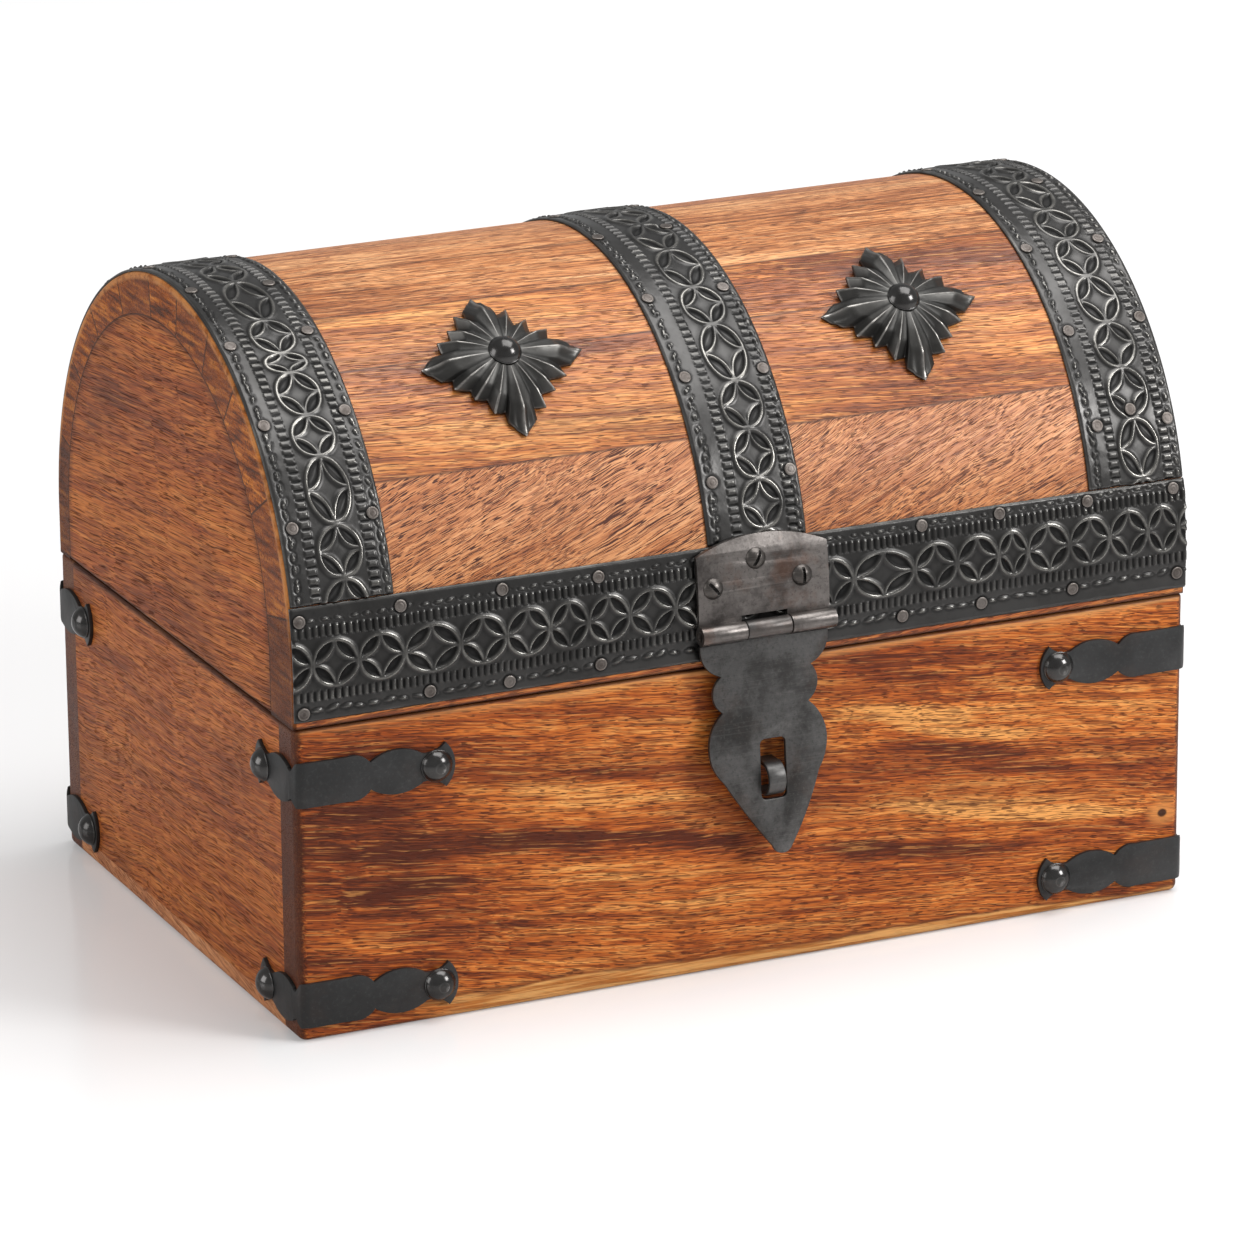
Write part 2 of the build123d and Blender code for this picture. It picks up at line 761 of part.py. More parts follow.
def hinge_lid_leaf(pin_point):
    spans = knuckle_spans(hinge_width, hinge_knuckle_count, 1)
    x, y, z = pin_point
    with BuildPart() as lid_leaf:
        with BuildSketch(Plane.YZ.offset(x)):
            low = lid_outline - hinge_knuckle_drop
            add(lid_sheet(lid_outline - hinge_leaf_height, low, 0, hinge_leaf))
        extrude(amount=hinge_width / 2, both=True)
        short = lid_leaf.edges().filter_by(lambda edge: edge.length < hinge_leaf + tiny)
        fillet(short.group_by(Axis.Z)[-1], hinge_leaf_round)
        for start, end in spans:
            with Locations((x + (start + end) / 2, half_depth, z)):
                Box(
                    end - start,
                    hinge_leaf,
                    hinge_knuckle_drop + rim - z,
                    align=(Align.CENTER, Align.MIN, Align.MIN),
                )
        knuckles(pin_point, spans, hinge_knuckle_radius)
        pin_bore(pin_point, hinge_width, hinge_pin_radius + running_clearance)
        drill(lid_screw_frames, hinge_shank_radius, screw_shank)
    return lid_leaf


for name, x in (("left", -hinge_x), ("right", hinge_x)):
    hinge_pin_point = (x, hinge_pin_y, hinge_pin_z)
    save(hinge_base_leaf(hinge_pin_point), f"{name}_hinge_base_leaf")
    save(hinge_lid_leaf(hinge_pin_point), f"{name}_hinge_lid_leaf")
    save(pin(hinge_pin_point, hinge_width, hinge_pin_radius), f"{name}_hinge_pin")

hinge_screw = screw(hinge_screw_radius, hinge_screw_height)
for name, frames in (("base", base_screw_frames), ("lid", lid_screw_frames)):
    with BuildPart() as hinge_screws:
        with Locations(*frames):
            add(hinge_screw)
    save(hinge_screws, f"{name}_hinge_screws")
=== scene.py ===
"""Looks of the domed treasure chest box: embossed iron straps, fluted rosettes, brackets, hasp and wood.

Metres. X runs along the box, Y from the front to the back, Z up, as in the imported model.
"""

import json
from math import atan2, copysign, cos, exp, hypot, pi, radians, sin, sqrt

import bmesh
import bpy
import numpy as np
from mathutils import Matrix, Vector


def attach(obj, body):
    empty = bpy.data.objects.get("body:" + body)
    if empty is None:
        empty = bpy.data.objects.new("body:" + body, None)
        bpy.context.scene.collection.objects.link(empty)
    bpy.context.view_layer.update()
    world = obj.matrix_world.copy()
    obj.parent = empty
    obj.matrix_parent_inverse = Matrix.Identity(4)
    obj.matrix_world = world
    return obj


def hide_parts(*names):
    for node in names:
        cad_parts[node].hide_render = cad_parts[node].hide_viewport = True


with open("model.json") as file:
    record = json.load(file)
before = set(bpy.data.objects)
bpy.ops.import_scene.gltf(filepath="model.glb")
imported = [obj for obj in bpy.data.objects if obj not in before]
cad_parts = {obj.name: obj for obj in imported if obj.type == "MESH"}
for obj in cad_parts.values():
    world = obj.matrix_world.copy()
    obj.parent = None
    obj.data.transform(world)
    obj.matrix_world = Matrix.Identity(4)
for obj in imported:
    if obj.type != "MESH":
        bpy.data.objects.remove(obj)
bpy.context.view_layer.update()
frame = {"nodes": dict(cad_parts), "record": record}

boards = frame["nodes"]
scene = bpy.context.scene

MM = 0.001

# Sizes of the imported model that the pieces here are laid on
HALF_LENGTH = 148 * MM
HALF_DEPTH = 97 * MM
BASE_HEIGHT = 97 * MM
RIM = 97.3 * MM
RIM_HEIGHT = 15 * MM
SPRING = RIM + RIM_HEIGHT
LID_OUTLINE = 2 * RIM_HEIGHT + pi * HALF_DEPTH
STRAP_LOW = 2.5 * MM
STRAP_HIGH = 37 * MM
PANEL_RADIUS = 83.5 * MM
PANEL_BACK = 4 * MM
BAND_LOW = 37.2 * MM
BAND_HIGH = LID_OUTLINE - STRAP_LOW
BAND_WIDTH = 32.5 * MM
BAND_X = {"left": -131.2 * MM, "centre": 2.8 * MM, "right": 131.5 * MM}
ROSETTE_ALONG = 103.0 * MM
ROSETTE_X = {"left": -64.7 * MM, "right": 67.5 * MM}
ROSETTE_SEAT = 6.0 * MM
ROSETTE_PROUD = 0.1 * MM
BRACKET_THICKNESS = 1.2 * MM
# Tacks of the brackets: inwards from the box's end, from its front or back, and up from the floor
LONG_TACK_INSET = 44.4 * MM
SHORT_TACK_INSET = 22.5 * MM
TACK_LEVELS = (11.6 * MM, 80.4 * MM)
HASP_PIN = Vector((2.8 * MM, -101.9 * MM, 109.0 * MM))


# Numbers and colours


def linear(code):
    """Linear colour of a web code such as "#8a4a22"."""
    values = [int(code[i : i + 2], 16) / 255 for i in (1, 3, 5)]
    return [v / 12.92 if v <= 0.04045 else ((v + 0.055) / 1.055) ** 2.4 for v in values] + [1.0]


LATTICE = (97, 89)


def value_noise(x, y, cell, seed):
    """Smooth noise from -1 to 1 over arrays of places, with one random value per cell."""
    lattice = np.random.default_rng(seed).uniform(-1, 1, LATTICE)
    u, v = x / cell + 40.5, y / cell + 40.5
    i, j = np.floor(u).astype(int), np.floor(v).astype(int)
    fu, fv = u - i, v - j
    fu, fv = fu * fu * (3 - 2 * fu), fv * fv * (3 - 2 * fv)

    def at(a, b):
        return lattice[a % LATTICE[0], b % LATTICE[1]]

    low = at(i, j) * (1 - fu) + at(i + 1, j) * fu
    high = at(i, j + 1) * (1 - fu) + at(i + 1, j + 1) * fu
    return low * (1 - fv) + high * fv


def smooth_step(low, high, x):
    t = np.clip((x - low) / (high - low), 0, 1)
    return t * t * (3 - 2 * t)


# Places on the lid


def on_lid(along, proud):
    """Y and Z of places along the lid's outline, from its front rim to its back one."""
    along = np.asarray(along, float)
    turn = np.clip((along - RIM_HEIGHT) / HALF_DEPTH, 0, pi)
    reach = HALF_DEPTH + np.asarray(proud, float)
    rise = np.minimum(along - RIM_HEIGHT, 0) + np.minimum(LID_OUTLINE - RIM_HEIGHT - along, 0)
    return -reach * np.cos(turn), SPRING + reach * np.sin(turn) + rise


def lid_frame(x, along, proud, spin=0.0):
    """Matrix that stands a piece, made round Z, on the lid."""
    turn = min(max((along - RIM_HEIGHT) / HALF_DEPTH, 0), pi)
    y, z = on_lid(along, proud)
    normal = Vector((0, -cos(turn), sin(turn)))
    return facing(Vector((x, float(y), float(z))), normal, Vector((1, 0, 0)), spin)


def facing(origin, normal, x_axis, spin=0.0):
    y_axis = normal.cross(x_axis)
    turned = Matrix((x_axis, y_axis, normal)).transposed().to_4x4()
    return Matrix.Translation(origin) @ turned @ Matrix.Rotation(radians(spin), 4, "Z")


# Meshes


def make_object(
    name, vertices, faces, material, body, node, wear_and_highlight=None, hollow_shade=None, smooth_angle=None
):
    """A piece that rides on a body, with how rubbed and lit each corner is (wear and painted highlight) and
    how much painted shade its hollows get.
    """
    mesh = bpy.data.meshes.new(name)
    mesh.from_pydata([tuple(v) for v in vertices], [], [tuple(f) for f in faces])
    mesh.update()
    for attribute, values in (("wear_and_highlight", wear_and_highlight), ("hollow_shade", hollow_shade)):
        if values is not None:
            layer = mesh.attributes.new(attribute, "FLOAT", "POINT")
            layer.data.foreach_set("value", np.asarray(values, np.float32))
    mesh.polygons.foreach_set("use_smooth", [True] * len(mesh.polygons))
    if smooth_angle:
        mesh.set_sharp_from_angle(angle=radians(smooth_angle))
    mesh.materials.append(material)
    add_piece(name, mesh, body, node)


def add_object(name, data):
    new = bpy.data.objects.new(name, data)
    scene.collection.objects.link(new)
    return new


def add_piece(name, mesh, body, node):
    piece = add_object(name, mesh)
    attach(piece, body)
    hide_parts(node)


def grid_faces(rows, columns, wrap=False):
    """Quads of a grid whose corners are numbered row by row."""
    faces = []
    for i in range(rows - 1):
        for j in range(columns if wrap else columns - 1):
            k = (j + 1) % columns
            a, b = i * columns, (i + 1) * columns
            faces.append((a + j, a + k, b + k, b + j))
    return faces


def lathe(profile, segments):
    """Corners and faces of a profile of (radius, height, wear and painted highlight) turned about Z, closed
    at both ends.
    """
    vertices, wear_and_highlight = [], []
    for radius, height, worn_and_highlit in profile:
        for n in range(segments):
            turn = 2 * pi * n / segments
            vertices.append(Vector((radius * cos(turn), radius * sin(turn), height)))
            wear_and_highlight.append(worn_and_highlit)
    faces = grid_faces(len(profile), segments, wrap=True)
    last = (len(profile) - 1) * segments
    faces.append(tuple(range(last, last + segments)))
    faces.append(tuple(reversed(range(segments))))
    return vertices, faces, wear_and_highlight


def islands(data):
    """The faces of each loose part of a mesh."""
    parent = list(range(len(data.vertices)))

    def root(n):
        while parent[n] != n:
            parent[n] = parent[parent[n]]
            n = parent[n]
        return n

    for edge in data.edges:
        parent[root(edge.vertices[0])] = root(edge.vertices[1])
    parts = {}
    for face in data.polygons:
        parts.setdefault(root(face.vertices[0]), []).append(face)
    return parts.values()


def slot_shade(data):
    """Painted shade for the driver slots of slotted screws: one on the faces inside them, zero on the others.
    """
    shade = np.zeros(len(data.polygons), np.float32)
    for faces in islands(data):
        points = np.array([data.vertices[n].co for face in faces for n in face.vertices])
        middle = (points.min(0) + points.max(0)) / 2
        turn = atan2(max(middle[2] - SPRING, 0), abs(middle[1]))
        outward = np.array([0, copysign(cos(turn), middle[1]), sin(turn)])
        top = (points @ outward).max()
        head = points[top - points @ outward < 0.4 * MM]
        centre = (head.min(0) + head.max(0)) / 2
        for face in faces:
            away = np.array(face.center) - centre
            facing_out = abs(np.dot(face.normal, outward))
            depth = top - np.dot(face.center, outward)
            reach = np.linalg.norm(away - (away @ outward) * outward)
            floor_face = facing_out > 0.97 and 0.3 * MM < depth < 1.3 * MM
            wall_face = facing_out < 0.15 and depth < 1.1 * MM and reach < 1.6 * MM
            shade[face.index] = 1.0 if floor_face or wall_face else 0.0
    return shade


# Angles in degrees: flat enough to dissolve, sharp enough to break, and sharp enough to show an edge
FLAT_ANGLE = 0.6
SHARP_ANGLE = 32
SHADING_ANGLE = 40
EDGE_SEGMENTS = 2
SAME_PLACE = 2e-6

body_of = {
    node: body for body, nodes in frame["record"]["behaviour"]["bodies"].items() for node in nodes
}


def dressed(node, material, edge_material, width, slotted=False):
    """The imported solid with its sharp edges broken, the broken edges in a material of their own."""
    data = boards[node].data.copy()
    shape = bmesh.new()
    shape.from_mesh(data)
    bmesh.ops.remove_doubles(shape, verts=shape.verts, dist=SAME_PLACE)
    bmesh.ops.dissolve_limit(
        shape, angle_limit=radians(FLAT_ANGLE), verts=shape.verts, edges=shape.edges,
        use_dissolve_boundaries=False,
    )
    sharp = [
        e for e in shape.edges
        if len(e.link_faces) == 2 and e.calc_face_angle(0) > radians(SHARP_ANGLE)
    ]
    bmesh.ops.bevel(
        shape, geom=sharp, offset=width, segments=EDGE_SEGMENTS, affect="EDGES", profile=0.5,
        clamp_overlap=True, material=1,
    )
    shape.to_mesh(data)
    shape.free()
    if slotted:
        # Painted shade on the faces inside the screws' slots
        data.attributes.new("hollow_shade", "FLOAT", "FACE").data.foreach_set("value", slot_shade(data))
    data.materials.clear()
    data.materials.append(material)
    data.materials.append(edge_material)
    data.polygons.foreach_set("use_smooth", [True] * len(data.polygons))
    data.set_sharp_from_angle(angle=radians(SHADING_ANGLE))
    add_piece(node + "_look", data, body_of[node], node)


# Materials


class Shade:
    """A node material under construction."""

    def __init__(self, name):
        self.material = bpy.data.materials.new(name)
        self.material.use_nodes = True
        self.nodes = self.material.node_tree.nodes
        self.links = self.material.node_tree.links
        self.shader = self.nodes["Principled BSDF"]

    def add(self, kind, out=0, settings=None, **inputs):
        node = self.nodes.new("ShaderNode" + kind)
        for key, value in (settings or {}).items():
            setattr(node, key, value)
        for key, value in inputs.items():
            self.put(node, key.replace("_", " ") if not key[-1].isdigit() else int(key[1:]), value)
        return node.outputs[out]

    def put(self, node, key, value):
        """Link or value of a socket; a colour may be a web code."""
        socket = node.inputs[key]
        if isinstance(value, bpy.types.NodeSocket):
            self.links.new(value, socket)
        else:
            socket.default_value = linear(value) if isinstance(value, str) else value

    def set(self, **inputs):
        for key, value in inputs.items():
            self.put(self.shader, key.replace("_", " "), value)

    def place(self):
        return self.add("TexCoord", "Object")

    def moved(self, vector, location=(0, 0, 0), turn=(0, 0, 0), scale=(1, 1, 1)):
        return self.add(
            "Mapping", Vector=vector, Location=location,
            Rotation=[radians(v) for v in turn], Scale=scale,
        )

    def noise(self, vector, scale, detail, roughness, out=0):
        return self.add("TexNoise", out, Vector=vector, Scale=scale, Detail=detail, Roughness=roughness)

    def math(self, operation, a, b=0.0, clamp=False):
        return self.add("Math", settings={"operation": operation, "use_clamp": clamp}, i0=a, i1=b)

    def plus(self, a, b, clamp=False):
        return self.math("ADD", a, b, clamp)

    def minus(self, a, b):
        return self.math("SUBTRACT", a, b)

    def times(self, a, b, clamp=False):
        return self.math("MULTIPLY", a, b, clamp)

    def vector(self, operation, out=0, **inputs):
        return self.add("VectorMath", out, settings={"operation": operation}, **inputs)

    def ramp(self, value, low, high, to_low=0.0, to_high=1.0):
        """Smooth step of a value between two levels."""
        return self.add(
            "MapRange", settings={"interpolation_type": "SMOOTHSTEP"},
            i0=value, i1=low, i2=high, i3=to_low, i4=to_high,
        )

    def fall(self, value, low, high):
        return self.ramp(value, low, high, 1.0, 0.0)

    def masked(self, factor, amount, a, b, clamp=False):
        """Mix of two colours by an amount of a mask."""
        return self.mix(self.times(factor, amount, clamp), a, b)

    def spots(self, colour, value, low, high, amount, tone):
        """Colour with a tone laid over it where a value is high."""
        return self.masked(self.ramp(value, low, high), amount, colour, tone)

    def stained(self, colour, distance, near, far, strength, tone):
        """Colour with a tone laid over it, strong up to one distance and gone at another."""
        return self.mix(self.ramp(distance, near, far, strength, 0.0), colour, tone)

    def cloud(self, place, scale, location=(0, 0, 0), detail=3.0, roughness=0.6):
        return self.noise(self.moved(place, location, scale=scale), 1.0, detail, roughness)

    def length(self, vector):
        return self.vector("LENGTH", "Value", i0=vector)

    def mix(self, factor, a, b):
        return self.add("Mix", 2, settings={"data_type": "RGBA"}, i0=factor, i6=a, i7=b)

    def tones(self, value, stops):
        node = self.nodes.new("ShaderNodeValToRGB")
        self.put(node, 0, value)
        elements = node.color_ramp.elements
        stops = list(stops)
        while len(elements) < len(stops):
            elements.new(0.5)
        for element, (position, colour) in zip(elements, stops):
            element.position = position
            element.color = linear(colour)
        return node.outputs[0]

    def split(self, vector):
        node = self.nodes.new("ShaderNodeSeparateXYZ")
        self.put(node, 0, vector)
        return node.outputs

    def bump(self, height, distance, strength):
        return self.add("Bump", Height=height, Distance=distance, Strength=strength)


def grain_space(s, place, along, tilt, tilt_axis, shift, figure):
    """Place along and across the grain, swayed so that no fibre runs dead straight."""
    turned = place
    if tilt:
        turned = s.add(
            "VectorRotate", settings={"rotation_type": "AXIS_ANGLE"},
            Vector=place, Axis=tilt_axis, Angle=radians(tilt),
        )
    grain = s.moved(turned, location=shift, turn=(0, 0, 90 if along == "Y" else 0))
    swayed = grain
    for scale, reach in (((6, 14, 14), 0.010), ((60, 40, 40), 0.0012)):
        sway = s.noise(s.moved(grain, scale=scale), 1.0, 2.0, 0.5, out=1)
        swayed = s.vector("MULTIPLY_ADD", i0=sway, i1=(0.0, reach * figure, reach * figure), i2=swayed)
    return swayed


def fibre(s, swayed, location, along, across, detail=1.0, roughness=0.5):
    """Noise drawn out along the grain: a low scale along it and a high one across it."""
    return s.noise(s.moved(swayed, location, scale=(along, across, across)), 1.0, detail, roughness)


def pore_masks(s, place, swayed, dash, lines):
    """Short thick pores and finer ones, crowded in places; lines draws them out left of the middle."""
    crowd = fibre(s, swayed, (8.3, 1.4, 3.0), 16, 90, 2.0)
    gate = s.minus(0.70, s.times(crowd, 0.16))
    thick = fibre(s, swayed, (1.3, 4.4, 2.0), 270 / dash, 3000, 0.0)
    thick = s.ramp(s.minus(thick, gate), -0.03, 0.06)
    thin = fibre(s, swayed, (4.1, 2.9, 7.0), 160 / dash, 4000, 0.0)
    thin = s.ramp(s.minus(thin, gate), -0.03, 0.05)
    if lines:
        long_ones = s.ramp(s.minus(fibre(s, swayed, (6.1, 1.9, 4.0), 75, 2700, 0.0), gate), -0.01, 0.06)
        x = s.split(place)[0]
        here = s.times(s.ramp(x, -0.082, -0.045), s.ramp(x, -0.012, 0.010, 1.0, 0.35))
        kept = s.times(thick, s.minus(1.0, s.times(here, 0.75)))
        thick = s.plus(kept, s.times(long_ones, here), clamp=True)
    return thick, thin


def wood(name, tones, along="X", tilt=0.0, tilt_axis=(0, 0, 1), shift=(0, 0, 0), pores=1.0, gloss=0.42,
         figure=1.0, finish=None, dash=1.0, zones=None, streaks=0.62, lines=False, sheen=0.30, clouds=0.43,
         dull_ends=False):
    """Oiled hardwood: long figure, fine fibre and dark pores that run with the grain."""
    s = Shade(name)
    place = s.place()
    swayed = grain_space(s, place, along, tilt, tilt_axis, shift, figure)
    broad = fibre(s, swayed, (0, 0, 0), 4.0, 46, 4.0, 0.62)
    streaky = fibre(s, swayed, (2.2, 0.4, 1.6), 12, 380, 3.0, 0.62)
    fine = fibre(s, swayed, (0, 0, 0), 70, 1900, 1.0, 0.6)
    level = s.plus(s.times(broad, clouds), s.times(streaky, 0.31))
    level = s.plus(level, (0.43 - clouds) * 0.5)
    level = s.plus(level, s.times(fine, 0.26))
    if zones:
        level = s.plus(level, zones(s, place, streaky))
    colour = s.tones(level, zip((0.38, 0.46, 0.53, 0.63), tones))

    dark_streak = fibre(s, swayed, (3.1, 0.7, 5.2), 3.6, 85, 5.0, 0.62)
    colour = s.spots(colour, dark_streak, 0.54, 0.66, streaks, tones[0])
    hair = fibre(s, swayed, (5.5, 3.3, 1.1), 45, 1700)
    colour = s.spots(colour, hair, 0.53, 0.64, 0.60, tones[0])
    glint = fibre(s, swayed, (2.5, 6.3, 0.7), 34, 1500)
    colour = s.spots(colour, glint, 0.56, 0.70, 0.40, tones[3])
    thick, thin = pore_masks(s, place, swayed, dash, lines)
    colour = s.masked(thin, 0.60 * pores, colour, "#5b2a12")
    colour = s.masked(thick, 0.74 * pores, colour, "#40190b")
    if finish:
        colour = finish(s, place, colour)

    roughness = s.plus(s.times(broad, 0.20), s.times(thick, 0.25))
    relief = s.minus(s.times(streaky, 0.35), s.times(thick, 0.8))
    relief = s.minus(relief, s.times(thin, 0.3))
    if dull_ends:
        ends = from_end(s, s.split(place)[0])
        sheen = s.ramp(ends, 0.0005, 0.0012, 0.3 * sheen, sheen)
    s.set(
        Base_Color=colour, Roughness=s.plus(roughness, gloss - 0.08), Specular_IOR_Level=sheen,
        Normal=s.bump(relief, 0.00014, 0.7),
    )
    return s.material


def metal(name, base, light, dark, rough=0.42, metallic=0.85, patina=90.0, patina_amount=0.5,
          scratches=0.0, grime=0.35, worn_and_highlit=1.0, dents=0.00012, finish=None, rust=0.0, flecks=0.0):
    """Blackened metal, lighter where its mesh is worn (partly wear, partly painted highlight) and with
    painted shade in its hollows.
    """
    s = Shade(name)
    place = s.place()
    cloud = s.noise(place, patina, 4.0, 0.6)
    speck = s.noise(s.moved(place, (0.3, 0.8, 0.1)), patina * 9, 3.0, 0.6)
    colour = s.masked(s.ramp(cloud, 0.38, 0.66), patina_amount, base, dark)
    colour = s.spots(colour, speck, 0.55, 0.75, grime, dark)
    if flecks:
        fleck = s.noise(s.moved(place, (0.6, 0.4, 0.9)), 900.0, 3.0, 0.7)
        colour = s.spots(colour, fleck, 0.52, 0.70, flecks, light)
        colour = s.spots(colour, fleck, 0.46, 0.34, flecks * 4, dark)
    if rust:
        bloom = s.noise(s.moved(place, (0.7, 0.2, 0.5)), patina * 0.8, 5.0, 0.65)
        colour = s.spots(colour, bloom, 0.52, 0.70, rust, "#5a3b2a")
    # Painted shade: darkens hollows, screw slots and undersides towards near black
    painted_hollow_shade = s.add("Attribute", "Fac", settings={"attribute_name": "hollow_shade"})
    colour = s.masked(painted_hollow_shade, 0.85, colour, "#0f0f0f", clamp=True)
    # Wear and painted highlight: this attribute lightens raised lines, edges and rims
    wear_and_highlight = s.add("Attribute", "Fac", settings={"attribute_name": "wear_and_highlight"})
    rub_and_highlight = s.times(s.ramp(wear_and_highlight, 0.15, 1.0), s.ramp(speck, 0.30, 0.62, 0.45, 1.0))
    colour = s.masked(rub_and_highlight, worn_and_highlit, colour, light, clamp=True)
    rough_value = s.plus(s.times(cloud, 0.18), rough - 0.09)
    rough_value = s.minus(rough_value, s.times(rub_and_highlight, 0.10))
    rough_value = s.plus(rough_value, s.times(painted_hollow_shade, 0.25))
    height = s.plus(s.times(cloud, 0.7), s.times(speck, 0.16))
    if scratches:
        lines = 0.0
        for spin, scale in ((17, 1.0), (-38, 0.8), (74, 0.6), (51, 0.7)):
            thin = s.noise(s.moved(place, turn=(0, spin, 0), scale=(60 * scale, 900, 3600)), 1.0, 0.0, 0.5)
            lines = s.math("MAXIMUM", s.ramp(thin, 0.68, 0.80), lines)
        colour = s.masked(lines, scratches, colour, light)
    if finish:
        colour, rough_value = finish(s, place, colour, rough_value)
    s.set(Base_Color=colour, Metallic=metallic, Roughness=rough_value, Normal=s.bump(height, dents, 0.9))
    return s.material


def along_zone(s, place, x_1, z_1, x_2, z_2, width):
    """Mask of a long soft patch between two places in mm on the front."""
    slope = atan2(z_2 - z_1, x_2 - x_1)
    local = s.add(
        "Mapping", settings={"vector_type": "TEXTURE"}, Vector=place,
        Location=((x_1 + x_2) / 2 * MM, 0, (z_1 + z_2) / 2 * MM), Rotation=(0, -slope, 0),
        Scale=(hypot(x_2 - x_1, z_2 - z_1) * 0.62 * MM, 1000, width * MM),
    )
    return s.fall(s.length(local), 0.25, 1.15)


# Patches of the front board's figure, with broad ones at both ends that are painted shade darker to the left
# and painted light to the right: x and z of both ends in mm, half width, how much lighter they are
FRONT_FIGURE_AND_SHADE = (
    (-90, 53, -40, 47, 4.5, -0.112), (-136, 55, -90, 50, 3.5, -0.094), (-140, 42, -95, 42, 4.0, -0.085),
    (-143, 71, -98, 67, 4.0, -0.085), (-45, 47, 6, 40, 5.0, -0.102), (36, 70, 148, 34, 5.5, -0.089),
    (28, 34, 98, 21, 4.5, -0.081), (24, 92, 68, 80, 4.5, -0.047), (95, 29, 148, 20, 4.0, -0.068),
    (-110, 78, -30, 66, 2.5, -0.051), (-120, 28, -40, 22, 3.0, -0.069), (-60, 18, 30, 14, 3.0, -0.069),
    (-147, 31, -106, 23, 5.0, 0.066), (-80, 40, -4, 33, 4.0, 0.059), (-95, 71, -8, 55, 5.0, 0.059),
    (-34, 52, 0, 44, 3.0, 0.066), (22, 79, 98, 59, 5.0, 0.094), (42, 46, 124, 29, 5.5, 0.141),
    (66, 84, 100, 74, 4.0, 0.084), (-100, 88, -40, 80, 5.0, 0.033), (60, 58, 146, 44, 3.5, 0.057),
    (-60, 27, 10, 24, 3.5, 0.057), (-185, 50, -84, 46, 60, -0.075), (-75, 22, 40, 18, 16, 0.05),
    (50, 50, 150, 42, 20, 0.03),
)


def front_figure_and_shade(s, place, streaky):
    """How much lighter the front board's patches make it, figure and painted shade and light alike, their
    edges broken by its streaks.
    """
    warp = s.noise(s.moved(place, scale=(9, 30, 30)), 1.0, 3.0, 0.6, out=1)
    moved = s.moved(place, location=(-0.02, 0, -0.0045))
    bent = s.vector("MULTIPLY_ADD", i0=warp, i1=(0.04, 0.0, 0.009), i2=moved)
    total = 0.0
    for *zone, amount in FRONT_FIGURE_AND_SHADE:
        total = s.plus(s.times(along_zone(s, bent, *zone), amount), total)
    return s.times(total, s.plus(s.times(streaky, 1.6), 0.2))


def front_finish(s, place, colour):
    """Pale sapwood along the foot, a lighter upper edge that is partly rubbed and partly painted highlight,
    painted shadow along the seam under the lid, one small knot and dark upright arrises.
    """
    x, _, z = s.split(place)
    wobble = s.cloud(place, (20, 90, 90))
    line = s.plus(s.times(x, -0.018), 0.0052)
    line = s.plus(line, s.times(s.minus(wobble, 0.5), 0.008))
    above = s.minus(z, line)
    reach = s.ramp(s.plus(x, s.times(wobble, 0.02)), -0.108, -0.080)
    fleck = s.cloud(place, (30, 700, 700), (2.0, 3.0, 1.0), 2.0)
    pale = s.mix(s.ramp(fleck, 0.40, 0.60), "#a8692f", "#dba563")
    foot = s.times(s.fall(above, -0.0012, 0.0006), reach)
    colour = s.masked(foot, 0.8, colour, pale)
    dark_line = s.times(s.fall(s.math("ABSOLUTE", above), 0.0, 0.0011), reach)
    colour = s.masked(dark_line, 0.6, colour, "#4d200f")

    below = s.minus(BASE_HEIGHT, z)
    # Lighter along the upper arris, partly rubbed wood and partly painted highlight, stronger to the right
    rubbed_and_highlit = s.fall(s.plus(below, s.times(wobble, 0.004)), 0.0022, 0.0058)
    rubbed_and_highlit = s.times(rubbed_and_highlit, s.ramp(x, -0.15, 0.08, 0.45, 0.9))
    colour = s.masked(rubbed_and_highlit, s.ramp(fleck, 0.30, 0.55), colour, "#cd8f55")
    # Painted shadow along the seam under the lid
    colour = s.stained(colour, below, 0.0002, 0.0009, 0.8, "#3a190c")

    knot_x, knot_z, knot_squash = 0.1415, 0.0268, 1.25
    from_knot = s.length(s.moved(
        place, location=(-knot_x, 0.0, -knot_z * knot_squash), scale=(1.0, 0.0, knot_squash)
    ))
    colour = s.stained(colour, from_knot, 0.0022, 0.0070, 0.7, "#cf8848")
    colour = s.stained(colour, from_knot, 0.0012, 0.0020, 0.95, "#2c130a")
    return board_ends(s, place, colour)


def from_end(s, x):
    return s.minus(HALF_LENGTH, s.math("ABSOLUTE", x))


def board_ends(s, place, colour):
    """Darker end grain, and stain gathered along the upright arrises."""
    ends = from_end(s, s.split(place)[0])
    ragged = s.cloud(place, (60, 40, 90))
    edge = s.minus(ends, s.times(s.minus(ragged, 0.5), 0.003))
    return s.stained(colour, edge, 0.0010, 0.0026, 0.85, "#43200f")


def base_end_finish(s, place, colour):
    """Darker clouds, darker rims (at the top, painted shadow along the seam with the lid) and darker again
    towards the foot of the base's end boards.
    """
    y, z = s.split(place)[1:]
    cloud = s.cloud(place, (1, 14, 22), (0.2, 0.5, 0.8))
    colour = s.spots(colour, cloud, 0.48, 0.66, 0.45, "#4a2414")
    # Darker within about 2 mm of the top and of the foot; at the top this is painted shadow along the seam
    rise = s.math("MINIMUM", z, s.minus(BASE_HEIGHT, z))
    colour = s.stained(colour, rise, 0.0004, 0.0022, 0.85, "#2c140b")
    # Darker towards the foot
    ragged = s.cloud(place, (90, 60, 90))
    inset = s.plus(z, s.times(s.minus(ragged, 0.5), 0.004))
    return s.stained(colour, inset, 0.0002, 0.0030, 0.6, "#34180d")


def dome_reach(s, y, over):
    """Distance from the axis of the lid's dome."""
    lifted = s.math("MAXIMUM", over, 0.0)
    return s.math("SQRT", s.plus(s.times(lifted, lifted), s.times(y, y)))


